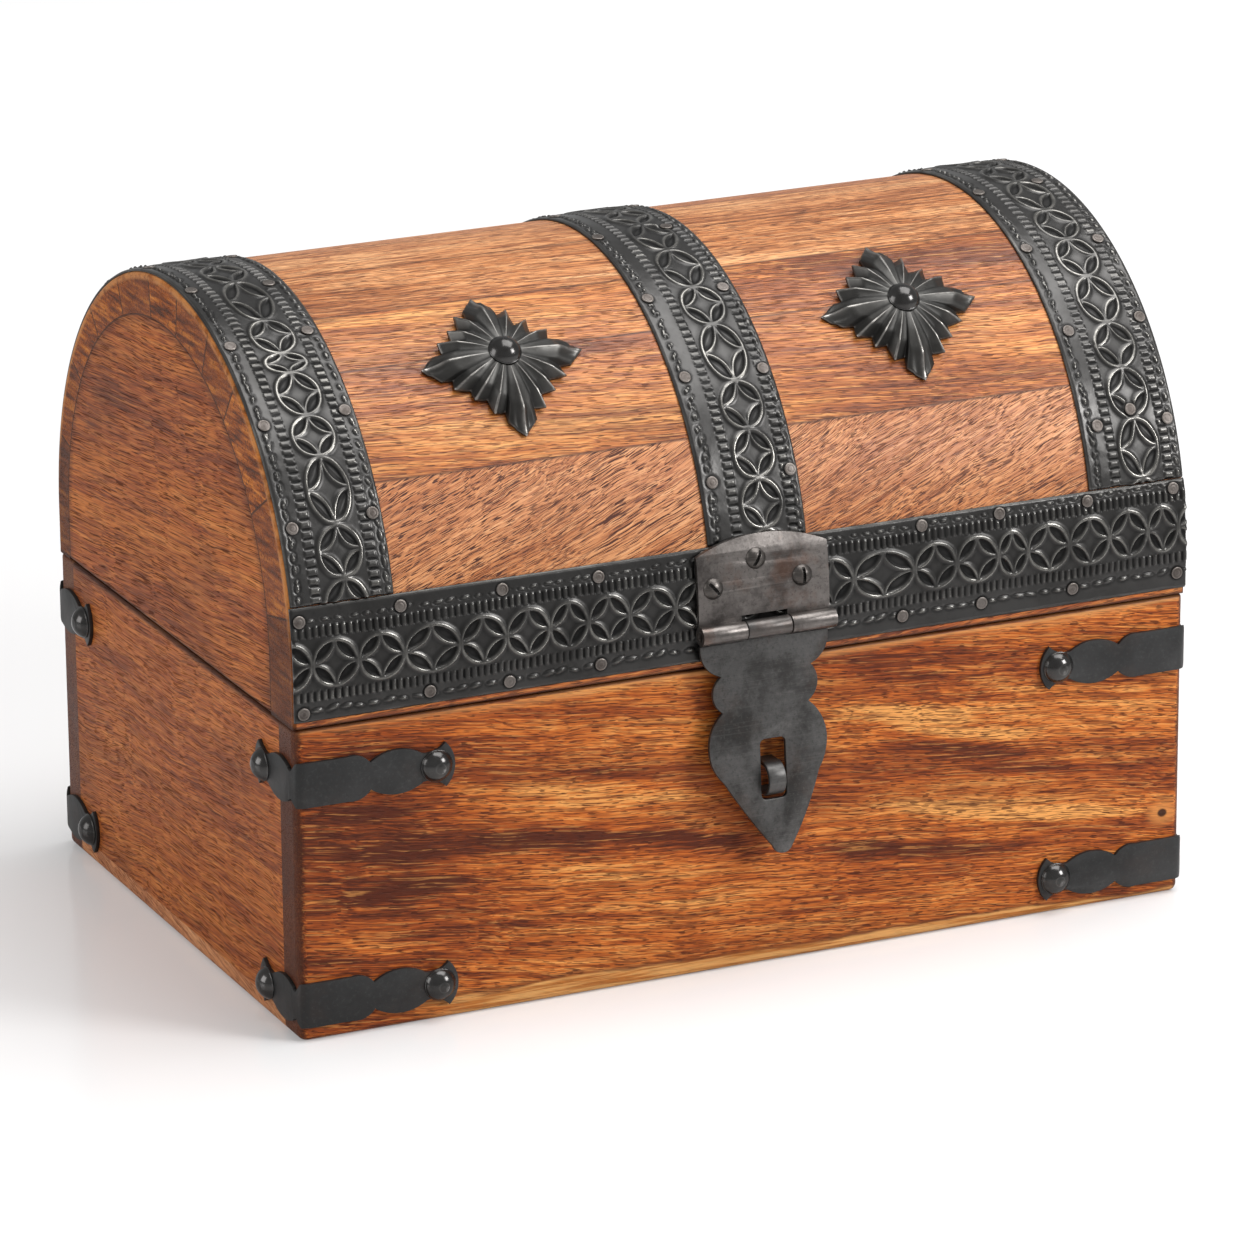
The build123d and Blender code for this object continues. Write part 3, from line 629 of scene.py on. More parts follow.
def lid_end_finish(s, place, colour):
    """Darker clouds and rims on the lid's end panels, a thin dark line where they meet the staves, and
    painted shadow along the seam at their foot.
    """
    y, z = s.split(place)[1:]
    inset = s.minus(PANEL_RADIUS, dome_reach(s, s.minus(y, PANEL_BACK), s.minus(z, SPRING)))
    colour = s.stained(colour, inset, 0.0003, 0.0010, 0.9, "#2a130b")
    colour = s.stained(colour, inset, 0.0010, 0.0045, 0.4, "#4a2412")
    cloud = s.cloud(place, (1, 12, 20), (0.7, 0.1, 0.3))
    colour = s.spots(colour, cloud, 0.50, 0.68, 0.40, "#542a16")
    # Painted shadow along the seam with the base
    return s.stained(colour, s.minus(z, RIM), 0.0004, 0.0020, 0.85, "#2c140b")


def end_grain(s, place, number, is_rail):
    """Rings and pits on the ends of the staves, each stave's turned its own way."""
    turned = s.moved(place, (0.3 * number, 0.1, 0.2), turn=(37 * number, 0, 0), scale=(1, 60, 520))
    rings = s.noise(turned, 1.0, 3.0, 0.65)
    grain = s.tones(rings, ((0.34, "#3f1c06"), (0.45, "#77390d"), (0.55, "#9f5519"), (0.68, "#c87c2f")))
    pits = s.cloud(place, (1, 900, 900), (0.9, 0.4, 0.1), 1.0, 0.5)
    grain = s.spots(grain, pits, 0.56, 0.66, 0.6, "#3a1c0f")
    grain = s.mix(0.22 + 0.20 * sin(2.3 * number), grain, "#653012")
    return s.mix(0.65, grain, "#43200f") if is_rail else grain


def stave_finish(start, end, number):
    """Dark glue lines at a stave's joints, its end grain, its outer corners lighter with rubbing and painted
    highlight, and painted shadow along the rails' foot at the seam.
    """
    is_rail = start is None or end is None

    def finish(s, place, colour):
        x, y, z = s.split(place)
        over = s.minus(z, SPRING)
        angle = s.math("ARCTAN2", over, s.times(y, -1.0))
        ends = from_end(s, x)
        end_mask = s.fall(ends, 0.0005, 0.0012)
        colour = s.mix(end_mask, colour, end_grain(s, place, number, is_rail))
        for joint in (start, end):
            if joint is not None:
                near = s.math("ABSOLUTE", s.minus(angle, radians(joint)))
                line = s.fall(near, 0.0018, 0.0062)
                colour = s.masked(line, s.ramp(end_mask, 0, 1, 0.62, 0.9), colour, "#331709")
        # Painted highlight along the rounded arris at the ends, broken by rubbed chips and stronger higher up
        corner = s.plus(s.minus(HALF_DEPTH, dome_reach(s, y, over)), ends)
        chips = s.cloud(place, (160, 160, 160), roughness=0.7)
        rubbed_and_highlit = s.times(s.fall(corner, 0.0014, 0.0028), s.ramp(chips, 0.34, 0.56, 0.25, 1.0))
        rubbed_and_highlit = s.times(rubbed_and_highlit, s.ramp(over, 0.006, 0.030, 0.1, 1.0))
        colour = s.masked(rubbed_and_highlit, 0.85, colour, "#be8049")
        # Painted shadow along the seam with the base
        if is_rail:
            colour = s.stained(colour, s.minus(z, RIM), 0.0004, 0.0018, 0.85, "#2c140b")
        return colour

    return finish


# Wood, each kind in four tones from dark to light

RED = ("#511f09", "#9a4817", "#c76d2a", "#e49e55")
GOLD = ("#5b2a10", "#965020", "#be7436", "#dea25f")
TAN = ("#874823", "#aa683b", "#c38150", "#d59c6c")
# Pale tones of the lid's top staves: partly their wood, partly painted sheen of the top light
PALE_WITH_SHEEN = ("#6a3a1d", "#9f5e31", "#c68450", "#e0ac79")
DULL = ("#5c2a0f", "#94491c", "#b4662b", "#cc8342")


def paint(node, material):
    data = boards[node].data
    data.materials.clear()
    data.materials.append(material)


paint("base_front_board", wood(
    "wood_front", RED, shift=(0.2, 0.31, 0.17), tilt=-7, tilt_axis=(0, 1, 0), finish=front_finish, figure=1.3,
    zones=front_figure_and_shade, streaks=0.30, sheen=0.20, gloss=0.40,
))
paint("base_back_board", wood(
    "wood_back", RED, shift=(0.9, 0.11, 0.47), tilt=1.5, tilt_axis=(0, 1, 0), finish=board_ends,
))
paint("base_bottom_board", wood(
    "wood_bottom", TAN, along="Y", shift=(0.4, 0.7, 0.2), tilt=-12, tilt_axis=(1, 0, 0), pores=0.7,
))
for end, node in ((-1, "base_left_end"), (1, "base_right_end")):
    paint(node, wood(
        "wood_" + node, DULL, along="Y", tilt=4, tilt_axis=(1, 0, 0), shift=(0.3 + end, 0.2, 0.6),
        finish=base_end_finish, pores=0.75, gloss=0.46, dash=2.2, figure=1.8, sheen=0.20, streaks=0.35,
        clouds=0.24,
    ))
for end, node in ((-1, "lid_left_end"), (1, "lid_right_end")):
    paint(node, wood(
        "wood_" + node, DULL, along="Y", tilt=6, tilt_axis=(1, 0, 0), shift=(1.3 + end, 0.9, 0.1), gloss=0.44,
        dash=3.0, finish=lid_end_finish, sheen=0.14, streaks=0.30, clouds=0.24,
    ))

# Each stave: joint angles, tones, tilt of its grain and length of its pores
STAVES = (
    ("lid_front_rail", None, 11.0, RED, 4, 1.0),
    ("lid_stave_1", 11.0, 32.5, TAN, 21, 1.0),
    ("lid_stave_2", 32.5, 54.5, GOLD, -4, 1.2),
    ("lid_stave_3", 54.5, 68.0, GOLD, -4, 1.3),
    ("lid_stave_4", 68.0, 83.0, PALE_WITH_SHEEN, -2, 1.2),
    ("lid_stave_5", 83.0, 97.0, PALE_WITH_SHEEN, -2, 1.2),
    ("lid_stave_6", 97.0, 113.5, TAN, 6, 1.0),
    ("lid_stave_7", 113.5, 130.5, RED, -5, 1.0),
    ("lid_stave_8", 130.5, 147.0, GOLD, 3, 1.0),
    ("lid_stave_9", 147.0, 165.0, TAN, -8, 1.0),
    ("lid_back_rail", 165.0, None, RED, 2, 1.0),
)
STRAIGHT = {"figure": 1.1, "pores": 0.95, "streaks": 0.5}
SLANTED = {"figure": 1.8, "pores": 1.3, "streaks": 0.20, "lines": True, "clouds": 0.30}
for n, (node, start, end, tones, tilt, dash) in enumerate(STAVES):
    middle = radians((start + end) / 2) if start and end else 0.2
    outwards = (0, -cos(middle), sin(middle))
    paint(node, wood(
        "wood_" + node, tones, tilt=-tilt, tilt_axis=outwards, shift=(0.37 * n, 0.21 * n, 0.53 * n),
        finish=stave_finish(start, end, n), dash=dash, gloss=0.36, sheen=0.36, dull_ends=True,
        **(SLANTED if tilt > 10 else STRAIGHT),
    ))

# Metals

WORN = "#a4a4a2"

strap_metal = metal(
    "metal_strap", "#3d3c3b", "#8a8883", "#292827", rough=0.31, patina=60, worn_and_highlit=0.60, dents=0.00026
)
# The bands take the strap's iron painted lighter: painted highlight for the top light's reflection on them
band_metal_with_painted_light = metal(
    "metal_band_with_painted_light", "#454443", "#9e9b95", "#2c2b2a", rough=0.30, patina=60, worn_and_highlit=0.66, dents=0.00026
)
rosette_metal = metal(
    "metal_rosette", "#4a4947", "#a8a49f", "#302e2c", rough=0.36, patina=70, patina_amount=0.6, worn_and_highlit=0.85
)
bracket_metal = metal(
    "metal_bracket", "#343434", WORN, "#242424", rough=0.46, patina=60, metallic=0.6, patina_amount=0.6,
    rust=0.08, dents=0.0003, flecks=0.03,
)
bracket_edge = metal("metal_bracket_edge", "#6e7070", WORN, "#3b3b3b", rough=0.40, metallic=0.8)
tack_metal = metal(
    "metal_tack", "#4a4948", "#8b8987", "#2c2a29", rough=0.19, metallic=0.9, patina=150, grime=0.25,
    dents=0.00004,
)
nail_metal = metal(
    "metal_nail", "#625c58", "#8f8882", "#352d28", rough=0.46, patina=260, patina_amount=0.7, metallic=0.7
)


def knuckle_shine(s, place, colour, rough_value):
    """Lighter round the knuckles of the hasp's pin, partly rubbed metal and partly painted highlight."""
    from_pin = s.vector("SUBTRACT", i0=place, i1=tuple(HASP_PIN))
    away = s.length(s.vector("MULTIPLY", i0=from_pin, i1=(0, 1, 1)))
    streak = s.cloud(place, (60, 900, 900))
    near = s.times(s.fall(away, 0.0029, 0.0040), s.ramp(streak, 0.30, 0.62))
    return s.masked(near, 0.12, colour, "#807a75"), s.minus(rough_value, s.times(near, 0.06))


plate_metal = metal(
    "metal_hasp_plate", "#545352", "#8a8683", "#333231", patina=75, patina_amount=0.9, scratches=0.07,
    dents=0.00030, finish=knuckle_shine, rust=0.16, flecks=0.10,
)
leaf_metal = metal(
    "metal_hasp_leaf", "#6b6663", "#968f8a", "#3b3735", rough=0.38, patina=95, patina_amount=0.9,
    scratches=0.06, dents=0.00024, finish=knuckle_shine, rust=0.42, flecks=0.12,
)
hasp_edge = metal("metal_hasp_edge", "#87807a", "#b8b0a9", "#4d4744", rough=0.34, metallic=0.9)
screw_metal = metal(
    "metal_screw", "#55514e", "#a09a95", "#3a3633", rough=0.36, patina=200, metallic=0.9, scratches=0.1
)
hinge_metal = metal("metal_hinge", "#5b5653", "#a19a95", "#332f2d", patina=80, scratches=0.2, metallic=0.9)


# Embossed straps


def ridge(distance, width):
    return np.exp(-((distance / width) ** 2))


def chain(u, v, nodes, half_height, midrib):
    """Relief of circles struck between crossings, whose petals meet there, and where it is rubbed and takes a
    painted highlight.
    """
    nodes = np.asarray(nodes, float)
    k = np.clip(np.searchsorted(nodes, u) - 1, 0, len(nodes) - 2)
    half = (nodes[k + 1] - nodes[k]) / 2
    cell = np.abs(u - nodes[k] - half) / half
    side = np.abs(v) / half_height
    size = (half + half_height) / 2
    outer = (np.hypot(cell, side) - 1) * size
    inner = (np.hypot(1 - cell, 1 - side) - 1) * size
    petal = smooth_step(0.55, 1.25, -outer) * smooth_step(0.45, 1.05, -inner)
    diamond = smooth_step(0.5, 1.4, inner) * smooth_step(0.3, 1.0, -outer)
    lines = np.maximum(ridge(outer + 0.30, 0.85), np.where(outer < 0.4, 0.80 * ridge(inner + 0.22, 0.62), 0))
    rib = midrib * petal * ridge(outer - inner, 0.45)
    return 0.60 * lines - 0.42 * petal - 0.10 * diamond + rib, np.maximum(lines, 2.2 * rib)


def slots(u, v, middle, length, pitch, width):
    """Relief of a raised row cut by narrow slots across it."""
    near = np.abs((u + pitch / 2) % pitch - pitch / 2)
    across = smooth_step(length / 2 + 0.4, length / 2 - 0.2, np.abs(v - middle))
    return across * (0.36 - 0.80 * ridge(near, width))


def dots(u, v, middle, length, pitch, width, slant, seed):
    """Relief of a row of uneven leaf-shaped dots."""
    index = np.floor(u / pitch).astype(int)
    shift, size, turn = np.random.default_rng(seed).uniform(-1, 1, (3, 400))[:, index % 400]
    du = u - (index + 0.5) * pitch - 0.18 * pitch * shift
    dv = v - middle - 0.25 * turn
    du, dv = du - dv * slant, dv - du * 0.2 * turn
    reach = np.hypot(du / (length / 2 * (1 + 0.25 * size)), dv / (width / 2 * (1 + 0.2 * turn)))
    return 0.42 * smooth_step(1.15, 0.35, reach) - 0.16 * ridge(reach - 1.35, 0.30)


def blurred(field, samples):
    kernel = ridge(np.arange(-3 * samples, 3 * samples + 1) / samples, 1.4)
    kernel /= kernel.sum()
    for axis in (0, 1):
        field = np.apply_along_axis(
            lambda row: np.convolve(np.pad(row, 3 * samples, mode="edge"), kernel, "valid"), axis, field
        )
    return field


# Heights over the wood in mm: a strap's edge, how far its field rises, its relief, and the land of a nail
EDGE_HEIGHT = 0.55
FIELD_RISE = 0.35
RELIEF_LIMITS = (-0.38, 0.66)
NAIL_LAND = 0.82
UNDERSIDE = 0.02
BLUR_REACH = 0.85


def emboss(u, v, half_width, layout, nails, seed, step):
    """Height over the wood of an embossed strap, its wear with painted highlight on raised lines, and painted
    shade in its hollows and round its nails; u runs along it, v across, in mm.
    """

    def noise(cell, n, across=v):
        return value_noise(u, across, cell, seed + n)

    low, high = layout["drift"]
    warp_u = u + 0.35 * noise(23, 0) + 0.14 * noise(4, 1)
    warp_v = v + 0.30 * noise(19, 2) + 0.12 * noise(4, 3) - low - (high - low) * (u / u.max())
    relief, lines = chain(warp_u, warp_v, layout["nodes"], layout["half_height"], layout["midrib"])
    for row in layout["slots"]:
        strength = 0.85 + 0.30 * noise(9, 5, v * 0 + row[0])
        relief = relief + slots(warp_u + 0.25 * noise(5, 7, v * 0), warp_v, *row) * strength
    for n, row in enumerate(layout["dots"]):
        relief = relief + dots(warp_u, warp_v, *row, seed + 60 + n)
    relief = relief + 0.06 * noise(9, 4) + 0.035 * noise(2.6, 6)
    edge = half_width - np.abs(v)
    height = EDGE_HEIGHT + FIELD_RISE * smooth_step(0, 0.8, edge)
    height = height + np.clip(relief, *RELIEF_LIMITS) * smooth_step(0.3, 1.3, edge)
    # Rings of painted shade round each nail head
    rings = np.zeros_like(height)
    for nail_u, nail_v in nails:
        away = np.hypot(u - nail_u, v - nail_v)
        height = height + (NAIL_LAND - height) * smooth_step(2.9, 2.1, away)
        rings = np.maximum(rings, ridge(away - 2.10, 0.40))
    broad = blurred(height, int(round(BLUR_REACH / step)))
    # Raised lines and the strap's edge: partly wear, partly painted highlight
    wear_and_highlight = 0.25 * lines + np.clip((height - broad) / 0.34, 0, 1) * 0.75
    wear_and_highlight = wear_and_highlight * smooth_step(0.3, 1.0, edge) + 0.6 * ridge(edge - 0.25, 0.35)
    # Painted shade in low places and round the nails
    hollow_shade = np.clip((broad - height) / 0.26, 0, 1) + 0.8 * rings
    return height, np.clip(wear_and_highlight * (0.8 + 0.4 * noise(7, 8)), 0, 1), np.clip(hollow_shade, 0, 1)


# Crossings of the struck circles along the front strap (x) and up each band (along the lid), in mm
STRAP_NODES = (
    -157, -142.4, -127.7, -113.1, -95.3, -80.6, -66.6, -54.2, -40.6, -25.9, -10.8, 4.3, 19.4, 33.4, 54.1,
    68.3, 82.5, 92.8, 107.1, 121, 134.3, 144.8, 159,
)
BAND_NODES = {
    "left": (28, 44.1, 59.4, 79.7, 93.3, 108.8, 116.5, 131.5, 154.9),
    "centre": (25, 40, 55.1, 70.2, 85.8, 105.9, 121.4, 140.5, 159.9),
    "right": (22, 38.7, 57.4, 73.1, 88.2, 105.3, 121.1, 136.2, 155.6),
}
# How far each band's pattern lies beside its middle, in mm
BAND_DRIFT = {"left": 1.2, "centre": 3.0, "right": 2.0}
STRAP_LAYOUT = {
    "nodes": [x + HALF_LENGTH / MM for x in STRAP_NODES],
    "half_height": 7.1, "midrib": 0.0, "drift": (-0.4, 2.6),
    # Rows as middle, length across, pitch and slot width
    "slots": ((9.75, 2.9, 2.15, 0.42), (-9.5, 2.8, 2.15, 0.42)),
    # Rows as middle, length, pitch, width and slant
    "dots": ((-13.9, 3.5, 4.6, 1.4, 0.25), (13.2, 2.4, 4.4, 0.9, 0.2)),
}


def band_layout(side):
    """Layout of a band like the strap's, its circles carried on at about 16 mm past those that show."""
    nodes = list(BAND_NODES[side])
    while nodes[-1] < LID_OUTLINE / MM:
        nodes.append(nodes[-1] + 16.0 + 0.9 * sin(3.7 * len(nodes)))
    drift = BAND_DRIFT[side]
    left_room, right_room = -BAND_WIDTH / 2 / MM - drift, BAND_WIDTH / 2 / MM - drift
    return {
        "nodes": [n - BAND_LOW / MM for n in nodes],
        "half_height": 6.7, "midrib": 0.16, "drift": (drift, drift),
        "slots": ((9.3, 2.6, 2.75, 0.50), (-9.3, 2.6, 2.75, 0.50)),
        "dots": ((left_room + 2.9, 2.6, 4.1, 1.5, 0.30), ((left_room - 10.6) / 2 - 0.6, 1.6, 3.1, 1.0, 0.0),
                 (min(right_room - 1.9, 13.6), 2.5, 3.9, 1.5, -0.30)),
    }


# Nail places that show from the front, in mm along X and along the lid's outline
STRAP_NAILS = (
    (-145.4, 32.8), (-113.4, 33.3), (-80.9, 33.7), (-49.9, 33.2), (57.4, 34.2), (83.8, 34.4), (114, 34.2),
    (143.8, 34.3), (-145.2, 5.2), (-105.2, 6.4), (-79.7, 5.6), (-50.1, 6.6), (50.1, 7.2), (77, 7.5),
    (108.3, 7.6), (144.6, 7.6), (-15.3, 34.4), (20.7, 34.4),
)
SEEN_BAND_NAILS = {
    "left": ((-120.1, 151.8), (-118.7, 124.6), (-117.9, 93.5), (-117.9, 61.1), (-144.1, 122.1),
             (-143.9, 91.9), (-143.4, 59.8), (-144.2, 153.5)),
    "centre": ((-11.0, 154.7), (-10.2, 119.3), (-9.4, 89.1), (-9.4, 55.8), (12.7, 156.3), (15.2, 120.0),
               (16.3, 88.6), (16.6, 56.5)),
    "right": ((119.7, 87.1), (120.8, 56.3), (133.0, 59.9), (140.4, 155.0), (143.7, 119.7), (145.0, 88.6),
              (145.0, 55.6), (118.6, 119.5), (118.2, 152.0)),
}


def band_nails(side):
    """The nails of a band, those behind the top in pairs about 32 mm apart."""
    nails = list(SEEN_BAND_NAILS[side])
    for row in range(5):
        for aside in (-13.2, 13.2):
            x = BAND_X[side] / MM + aside + 0.6 * sin(5.1 * row + aside)
            nails.append((x, 187 + 32.2 * row + 1.3 * sin(7.1 * row + aside)))
    return nails


def strap_piece(name, node, material, x_places, s_places, runs_along_x, middle, half_width, layout, nails,
                seed):
    """Embossed strap laid on the lid: a fine grid on top, walls down to the wood and an underside."""
    x_grid, s_grid = np.meshgrid(x_places, s_places, indexing="ij")
    u, v = (x_grid, s_grid) if runs_along_x else (s_grid, x_grid)
    first_u = u.min()
    run = (u - first_u) / MM
    struck = []
    for x, s in nails:
        along, across = (x, s) if runs_along_x else (s, x)
        struck.append((along - first_u / MM, across - middle / MM))
    height, wear_and_highlight, hollow_shade = emboss(
        run, (v - middle) / MM, half_width / MM, layout, struck, seed, (x_places[1] - x_places[0]) / MM
    )
    height = height - 0.3 * smooth_step(0.7, 0, np.minimum(run, run.max() - run))
    y, z = on_lid(s_grid, height * MM)
    top = np.stack([x_grid, y, z], -1).reshape(-1, 3)
    rows, columns = x_grid.shape
    faces = grid_faces(rows, columns)
    corners = np.arange(rows * columns).reshape(rows, columns)
    sides = [side.tolist() for side in (corners[:, 0], corners[-1], corners[::-1, -1], corners[0, ::-1])]
    rim = [corner for side in sides for corner in side[:-1]]
    flat_x, flat_s = x_grid.reshape(-1)[rim], s_grid.reshape(-1)[rim]
    y, z = on_lid(flat_s, UNDERSIDE * MM)
    foot = {corner: len(top) + n for n, corner in enumerate(rim)}
    for n, corner in enumerate(rim):
        after = rim[(n + 1) % len(rim)]
        faces.append((corner, after, foot[after], foot[corner]))
    # The underside follows the lid: strips straight across it in X, one to each step along its outline
    left, right = [foot[corner] for corner in sides[3][::-1]], [foot[corner] for corner in sides[1]]
    for n in range(1, columns - 2):
        faces.append((left[n], right[n], right[n + 1], left[n + 1]))
    faces.append((*(foot[corner] for corner in sides[0]), right[1], left[1]))
    faces.append((left[-2], right[-2], *(foot[corner] for corner in sides[2])))
    # Walls and underside: some wear with painted highlight, and some painted shade
    more = np.full(len(rim), 0.2)
    make_object(
        name, np.concatenate([top, np.stack([flat_x, y, z], -1)]), [f[::-1] for f in faces], material,
        "lid", node, np.append(wear_and_highlight, more), np.append(hollow_shade, more),
    )


def places(low, high, step):
    return np.linspace(low, high, int(round((high - low) / step)) + 1)


STEP = 0.32 * MM
strap_piece(
    "front_strap_embossed", "front_strap", strap_metal, places(-HALF_LENGTH, HALF_LENGTH, STEP),
    places(STRAP_LOW, STRAP_HIGH, STEP), True, (STRAP_LOW + STRAP_HIGH) / 2, (STRAP_HIGH - STRAP_LOW) / 2,
    STRAP_LAYOUT, STRAP_NAILS, 11,
)
for n, (side, x) in enumerate(BAND_X.items()):
    strap_piece(
        f"{side}_band_embossed", f"{side}_band", band_metal_with_painted_light,
        places(x - BAND_WIDTH / 2, x + BAND_WIDTH / 2, STEP), places(BAND_LOW, BAND_HIGH, STEP), False, x,
        BAND_WIDTH / 2, band_layout(side), band_nails(side), 21 + 10 * n,
    )

# Nails

NAIL_PROFILE = (
    (1.85, 0.0, 0.0), (1.90, 0.28, 0.3), (1.82, 0.44, 0.7), (1.62, 0.52, 0.5), (1.18, 0.53, 0.1),
    (1.00, 0.48, 0.0), (0.84, 0.53, 0.4), (0.55, 0.55, 0.2), (0.30, 0.55, 0.1), (0.05, 0.55, 0.1),
)


def heads(name, shape, frames, material, body, node, smooth_angle):
    """Copies of one head at several frames, in one piece."""
    vertices, faces, wear_and_highlight = [], [], []
    for matrix in frames:
        first = len(vertices)
        vertices += [matrix @ v for v in shape[0]]
        faces += [tuple(first + k for k in face) for face in shape[1]]
        wear_and_highlight += shape[2]
    make_object(name, vertices, faces, material, body, node, wear_and_highlight, smooth_angle=smooth_angle)


nail_places = list(STRAP_NAILS) + [place for side in BAND_X for place in band_nails(side)]
nail_frames = [lid_frame(x * MM, s * MM, NAIL_LAND * MM, 37.0 * n) for n, (x, s) in enumerate(nail_places)]
heads("strap_nail_heads", lathe([(r * MM, h * MM, w) for r, h, w in NAIL_PROFILE], 28), nail_frames,
      nail_metal, "lid", "strap_nails", 50)

# Tacks

# Size of a head in mm, and the rings of its mesh
TACK_RADIUS = 5.1
TACK_HEIGHT = 3.6
TACK_RINGS = 20


def tack_shape(seat, marked):
    """Domed head on a thin rolled rim; the ones struck home carry a small ring mark on the crown."""
    radius, height = TACK_RADIUS, TACK_HEIGHT
    bulge = (radius**2 + height**2) / (2 * height)
    profile = [(radius - 0.25, 0.0, 0.0), (radius, 0.22, 0.4), (radius - 0.10, 0.45, 0.1)]
    for k in range(1, TACK_RINGS):
        r = (radius - 0.12) * cos(pi / 2 * k / TACK_RINGS)
        z = max(height - bulge + sqrt(bulge**2 - r**2), 0.48)
        if marked:
            z -= 0.08 * exp(-(((r - 1.35) / 0.16) ** 2)) + 0.05 * smooth_step(1.3, 1.1, r)
        profile.append((r, z, 0.6 * exp(-(((r - 1.65) / 0.2) ** 2)) if marked else 0.0))
    return lathe([(r * MM, seat + z * MM, w) for r, z, w in profile], 48)


bracket_tacks = []
for side in (-1, 1):
    for end in (-1, 1):
        x, y = end * (HALF_LENGTH - LONG_TACK_INSET), side * (HALF_DEPTH - SHORT_TACK_INSET)
        for z in TACK_LEVELS:
            on_long_side, on_short_side = Vector((x, side * HALF_DEPTH, z)), Vector((end * HALF_LENGTH, y, z))
            bracket_tacks.append(facing(on_long_side, Vector((0, side, 0)), Vector((1, 0, 0))))
            bracket_tacks.append(facing(on_short_side, Vector((end, 0, 0)), Vector((0, 1, 0))))
heads("bracket_tack_heads", tack_shape(BRACKET_THICKNESS, True), bracket_tacks, tack_metal, "base",
      "bracket_tacks", 60)
rosette_tacks = [lid_frame(x, ROSETTE_ALONG, ROSETTE_PROUD) for x in ROSETTE_X.values()]
heads("rosette_tack_heads", tack_shape(ROSETTE_SEAT, False), rosette_tacks, tack_metal, "lid",
      "rosette_tacks", 60)

# Rosettes

# Heights in mm at thirds of the way out, and a quarter of the star: angle, share of its reach and fold
RIDGE_HEIGHTS = (6.0, 5.8, 5.0, 2.2)
VALLEY_HEIGHTS = (6.0, 5.2, 4.1, 1.0)
QUARTER = (
    (0.0, 1.00, 1.0), (12.5, 0.82, 0.15), (15.0, 0.69, 0.0), (25.5, 0.76, 1.0), (35.0, 0.60, 0.0),
    (45.0, 0.71, 1.0), (55.0, 0.60, 0.0), (64.5, 0.76, 1.0), (75.0, 0.69, 0.0), (77.5, 0.82, 0.15),
)
ROSETTE_RINGS = 20
ROSETTE_STEPS = 6
# Reach of its tips, radius of its flat hub and thickness of its sheet, in mm
ROSETTE_REACH = 26.0
ROSETTE_HUB = 4.4
ROSETTE_SHEET = 0.7


def star_outline(seed):
    """Points of the star's edge in mm, each with how high its fold stands there."""
    random = np.random.default_rng(seed)
    corners = []
    for quarter in range(4):
        for angle, share, fold in QUARTER:
            spread = 0.0 if angle == 0 else random.uniform(-1.0, 1.0)
            reach = ROSETTE_REACH * share * (1 + random.uniform(-0.02, 0.02))
            turn = radians(90 * quarter + angle + spread)
            corners.append((Vector((reach * cos(turn), reach * sin(turn))), fold))
    outline = []
    for (start, fold), (stop, next_fold) in zip(corners, corners[1:] + corners[:1]):
        for k in range(ROSETTE_STEPS):
            share = k / ROSETTE_STEPS
            outline.append((start.lerp(stop, share), fold + (next_fold - fold) * share))
    return outline


def rosette_piece(name, node, x, seed):
    """Fluted four-pointed star with a fold to each tip, bent to the barrel."""
    outline = star_outline(seed)
    thirds = (0, 1 / 3, 2 / 3, 1)
    layers = [(0.0, ring) for ring in range(ROSETTE_RINGS + 1)]
    layers += [(ROSETTE_SHEET, ring) for ring in range(ROSETTE_RINGS, -1, -1)]
    vertices, wear_and_highlight, hollow_shade = [], [], []
    for thickness, ring in layers:
        f = ring / ROSETTE_RINGS
        ridge_height = np.interp(f, thirds, RIDGE_HEIGHTS)
        valley_height = np.interp(f, thirds, VALLEY_HEIGHTS)
        rim = 1.0 if ring == ROSETTE_RINGS else 0.0
        for point, fold in outline:
            top = valley_height + (ridge_height - valley_height) * fold**1.9
            if point.length > 0.9 * ROSETTE_REACH:
                top -= (ridge_height - 1.0) * smooth_step(0.60, 1.0, f) * 0.7
            reach = ROSETTE_HUB + (point.length - ROSETTE_HUB) * f
            direction = point.normalized()
            y, z = on_lid(ROSETTE_ALONG + direction.y * reach * MM, ROSETTE_PROUD + (top - thickness) * MM)
            vertices.append((x + direction.x * reach * MM, float(y), float(z)))
            # Ridges and the rim get wear and painted highlight; valleys and the underside get painted shade
            crease = fold**6 * min(1.0, 0.45 + 0.7 * f)
            wear_and_highlight.append(0.0 if thickness else max(0.85 * crease, 0.45 * rim))
            hollow_shade.append(0.5 if thickness else 0.75 * (1 - fold) ** 2 * (1 - rim))
    count = len(outline)
    faces = grid_faces(len(layers), count, wrap=True)
    last = (len(layers) - 1) * count
    faces += [(last + j, last + (j + 1) % count, (j + 1) % count, j) for j in range(count)]
    make_object(name, vertices, faces, rosette_metal, "lid", node, wear_and_highlight, hollow_shade)


for n, (side, x) in enumerate(ROSETTE_X.items()):
    rosette_piece(f"{side}_rosette_fluted", f"{side}_rosette", x, 5 + n)

# Brackets, hasp and hinges

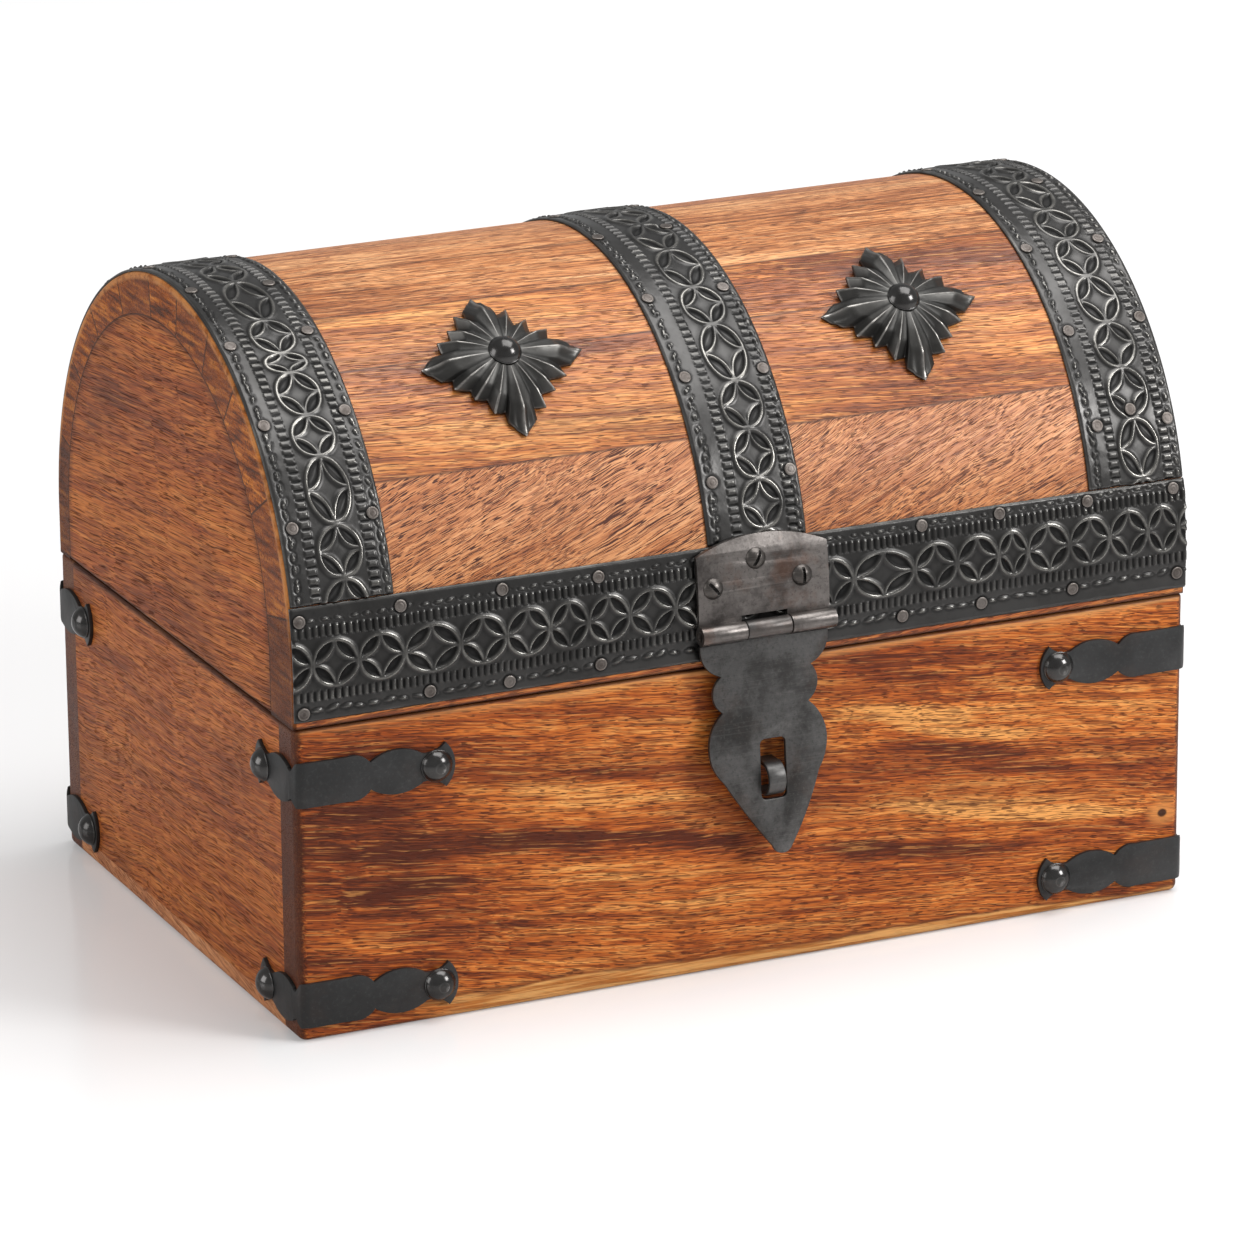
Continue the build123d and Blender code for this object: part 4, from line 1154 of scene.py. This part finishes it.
for node in sorted(boards):
    if node.startswith("bracket_") and node != "bracket_tacks":
        dressed(node, bracket_metal, bracket_edge, 0.22 * MM)
dressed("hasp_plate", plate_metal, hasp_edge, 0.28 * MM)
dressed("hasp_leaf", leaf_metal, hasp_edge, 0.25 * MM)
dressed("hasp_staple", plate_metal, hasp_edge, 0.2 * MM)
dressed("hasp_screws", screw_metal, hasp_edge, 0.12 * MM, slotted=True)
paint("hasp_pin", hinge_metal)
for side in ("left", "right"):
    for leaf in ("base_leaf", "lid_leaf"):
        dressed(f"{side}_hinge_{leaf}", hinge_metal, hasp_edge, 0.2 * MM)
    paint(f"{side}_hinge_pin", hinge_metal)
for body in ("base", "lid"):
    dressed(f"{body}_hinge_screws", hinge_metal, hasp_edge, 0.12 * MM, slotted=True)

# Camera, floor and light

YAW, PITCH, ROLL = radians(-24.811), radians(18.221), radians(-0.398)
DISTANCE, ASIDE, LOW = 2.20808, -0.002897, -0.075322
FOCAL_PIXELS, PHOTO_PIXELS, SENSOR = 6995.8, 1254, 36
back = Vector((sin(YAW) * cos(PITCH), -cos(YAW) * cos(PITCH), sin(PITCH)))
level = Vector((cos(YAW), sin(YAW), 0))
upright = back.cross(level)
right = cos(ROLL) * level + sin(ROLL) * upright
up = back.cross(right)

camera = add_object("camera", bpy.data.cameras.new("camera"))
camera.data.sensor_width = SENSOR
camera.data.lens = FOCAL_PIXELS / PHOTO_PIXELS * SENSOR
camera.data.clip_end = 100
camera.matrix_world = (
    Matrix.Translation(back * DISTANCE - ASIDE * right - LOW * up)
    @ Matrix((right, up, back)).transposed().to_4x4()
)
scene.camera = camera

FLOOR_BACK = 3
floor_shade = Shade("floor_gloss")
from_box = floor_shade.length(floor_shade.moved(floor_shade.place(), location=(0, FLOOR_BACK, 0)))
seen_only = floor_shade.times(
    floor_shade.add("LightPath"), floor_shade.ramp(from_box, 0.25, 1.1, 0.18, 0.42)
)
floor_shade.set(Base_Color="#d6d5d5", Roughness=0.16, Specular_IOR_Level=0.5,
                Emission_Color=(1, 1, 1, 1), Emission_Strength=seen_only)
bpy.ops.mesh.primitive_plane_add(size=14, location=(0, FLOOR_BACK, 0))
floor = bpy.context.object
floor.name = "floor"
floor.data.materials.append(floor_shade.material)


def area_light(name, place, target, size, power):
    light = bpy.data.lights.new(name, "AREA")
    light.size = size
    light.energy = power
    lamp = add_object(name, light)
    lamp.location = place
    lamp.rotation_euler = (Vector(target) - Vector(place)).to_track_quat("-Z", "Y").to_euler()


area_light("key", (0.95, -1.05, 0.80), (0.02, 0, 0.1), 0.5, 15)
area_light("top", (0.45, -0.15, 1.6), (0.05, 0, 0.1), 1.3, 27)
area_light("left_fill", (-1.8, 0.1, 0.7), (0, 0, 0.12), 1.0, 12.5)

world = bpy.data.worlds.new("studio")
scene.world = world
world.use_nodes = True
nodes, links = world.node_tree.nodes, world.node_tree.links
surround, seen = nodes["Background"], nodes.new("ShaderNodeBackground")
for background, strength in ((surround, 0.45), (seen, 1.0)):
    background.inputs["Color"].default_value = (1, 1, 1, 1)
    background.inputs["Strength"].default_value = strength
choose = nodes.new("ShaderNodeMixShader")
links.new(nodes.new("ShaderNodeLightPath").outputs["Is Camera Ray"], choose.inputs[0])
links.new(surround.outputs[0], choose.inputs[1])
links.new(seen.outputs[0], choose.inputs[2])
links.new(choose.outputs[0], nodes["World Output"].inputs["Surface"])

scene.view_settings.view_transform = "Standard"
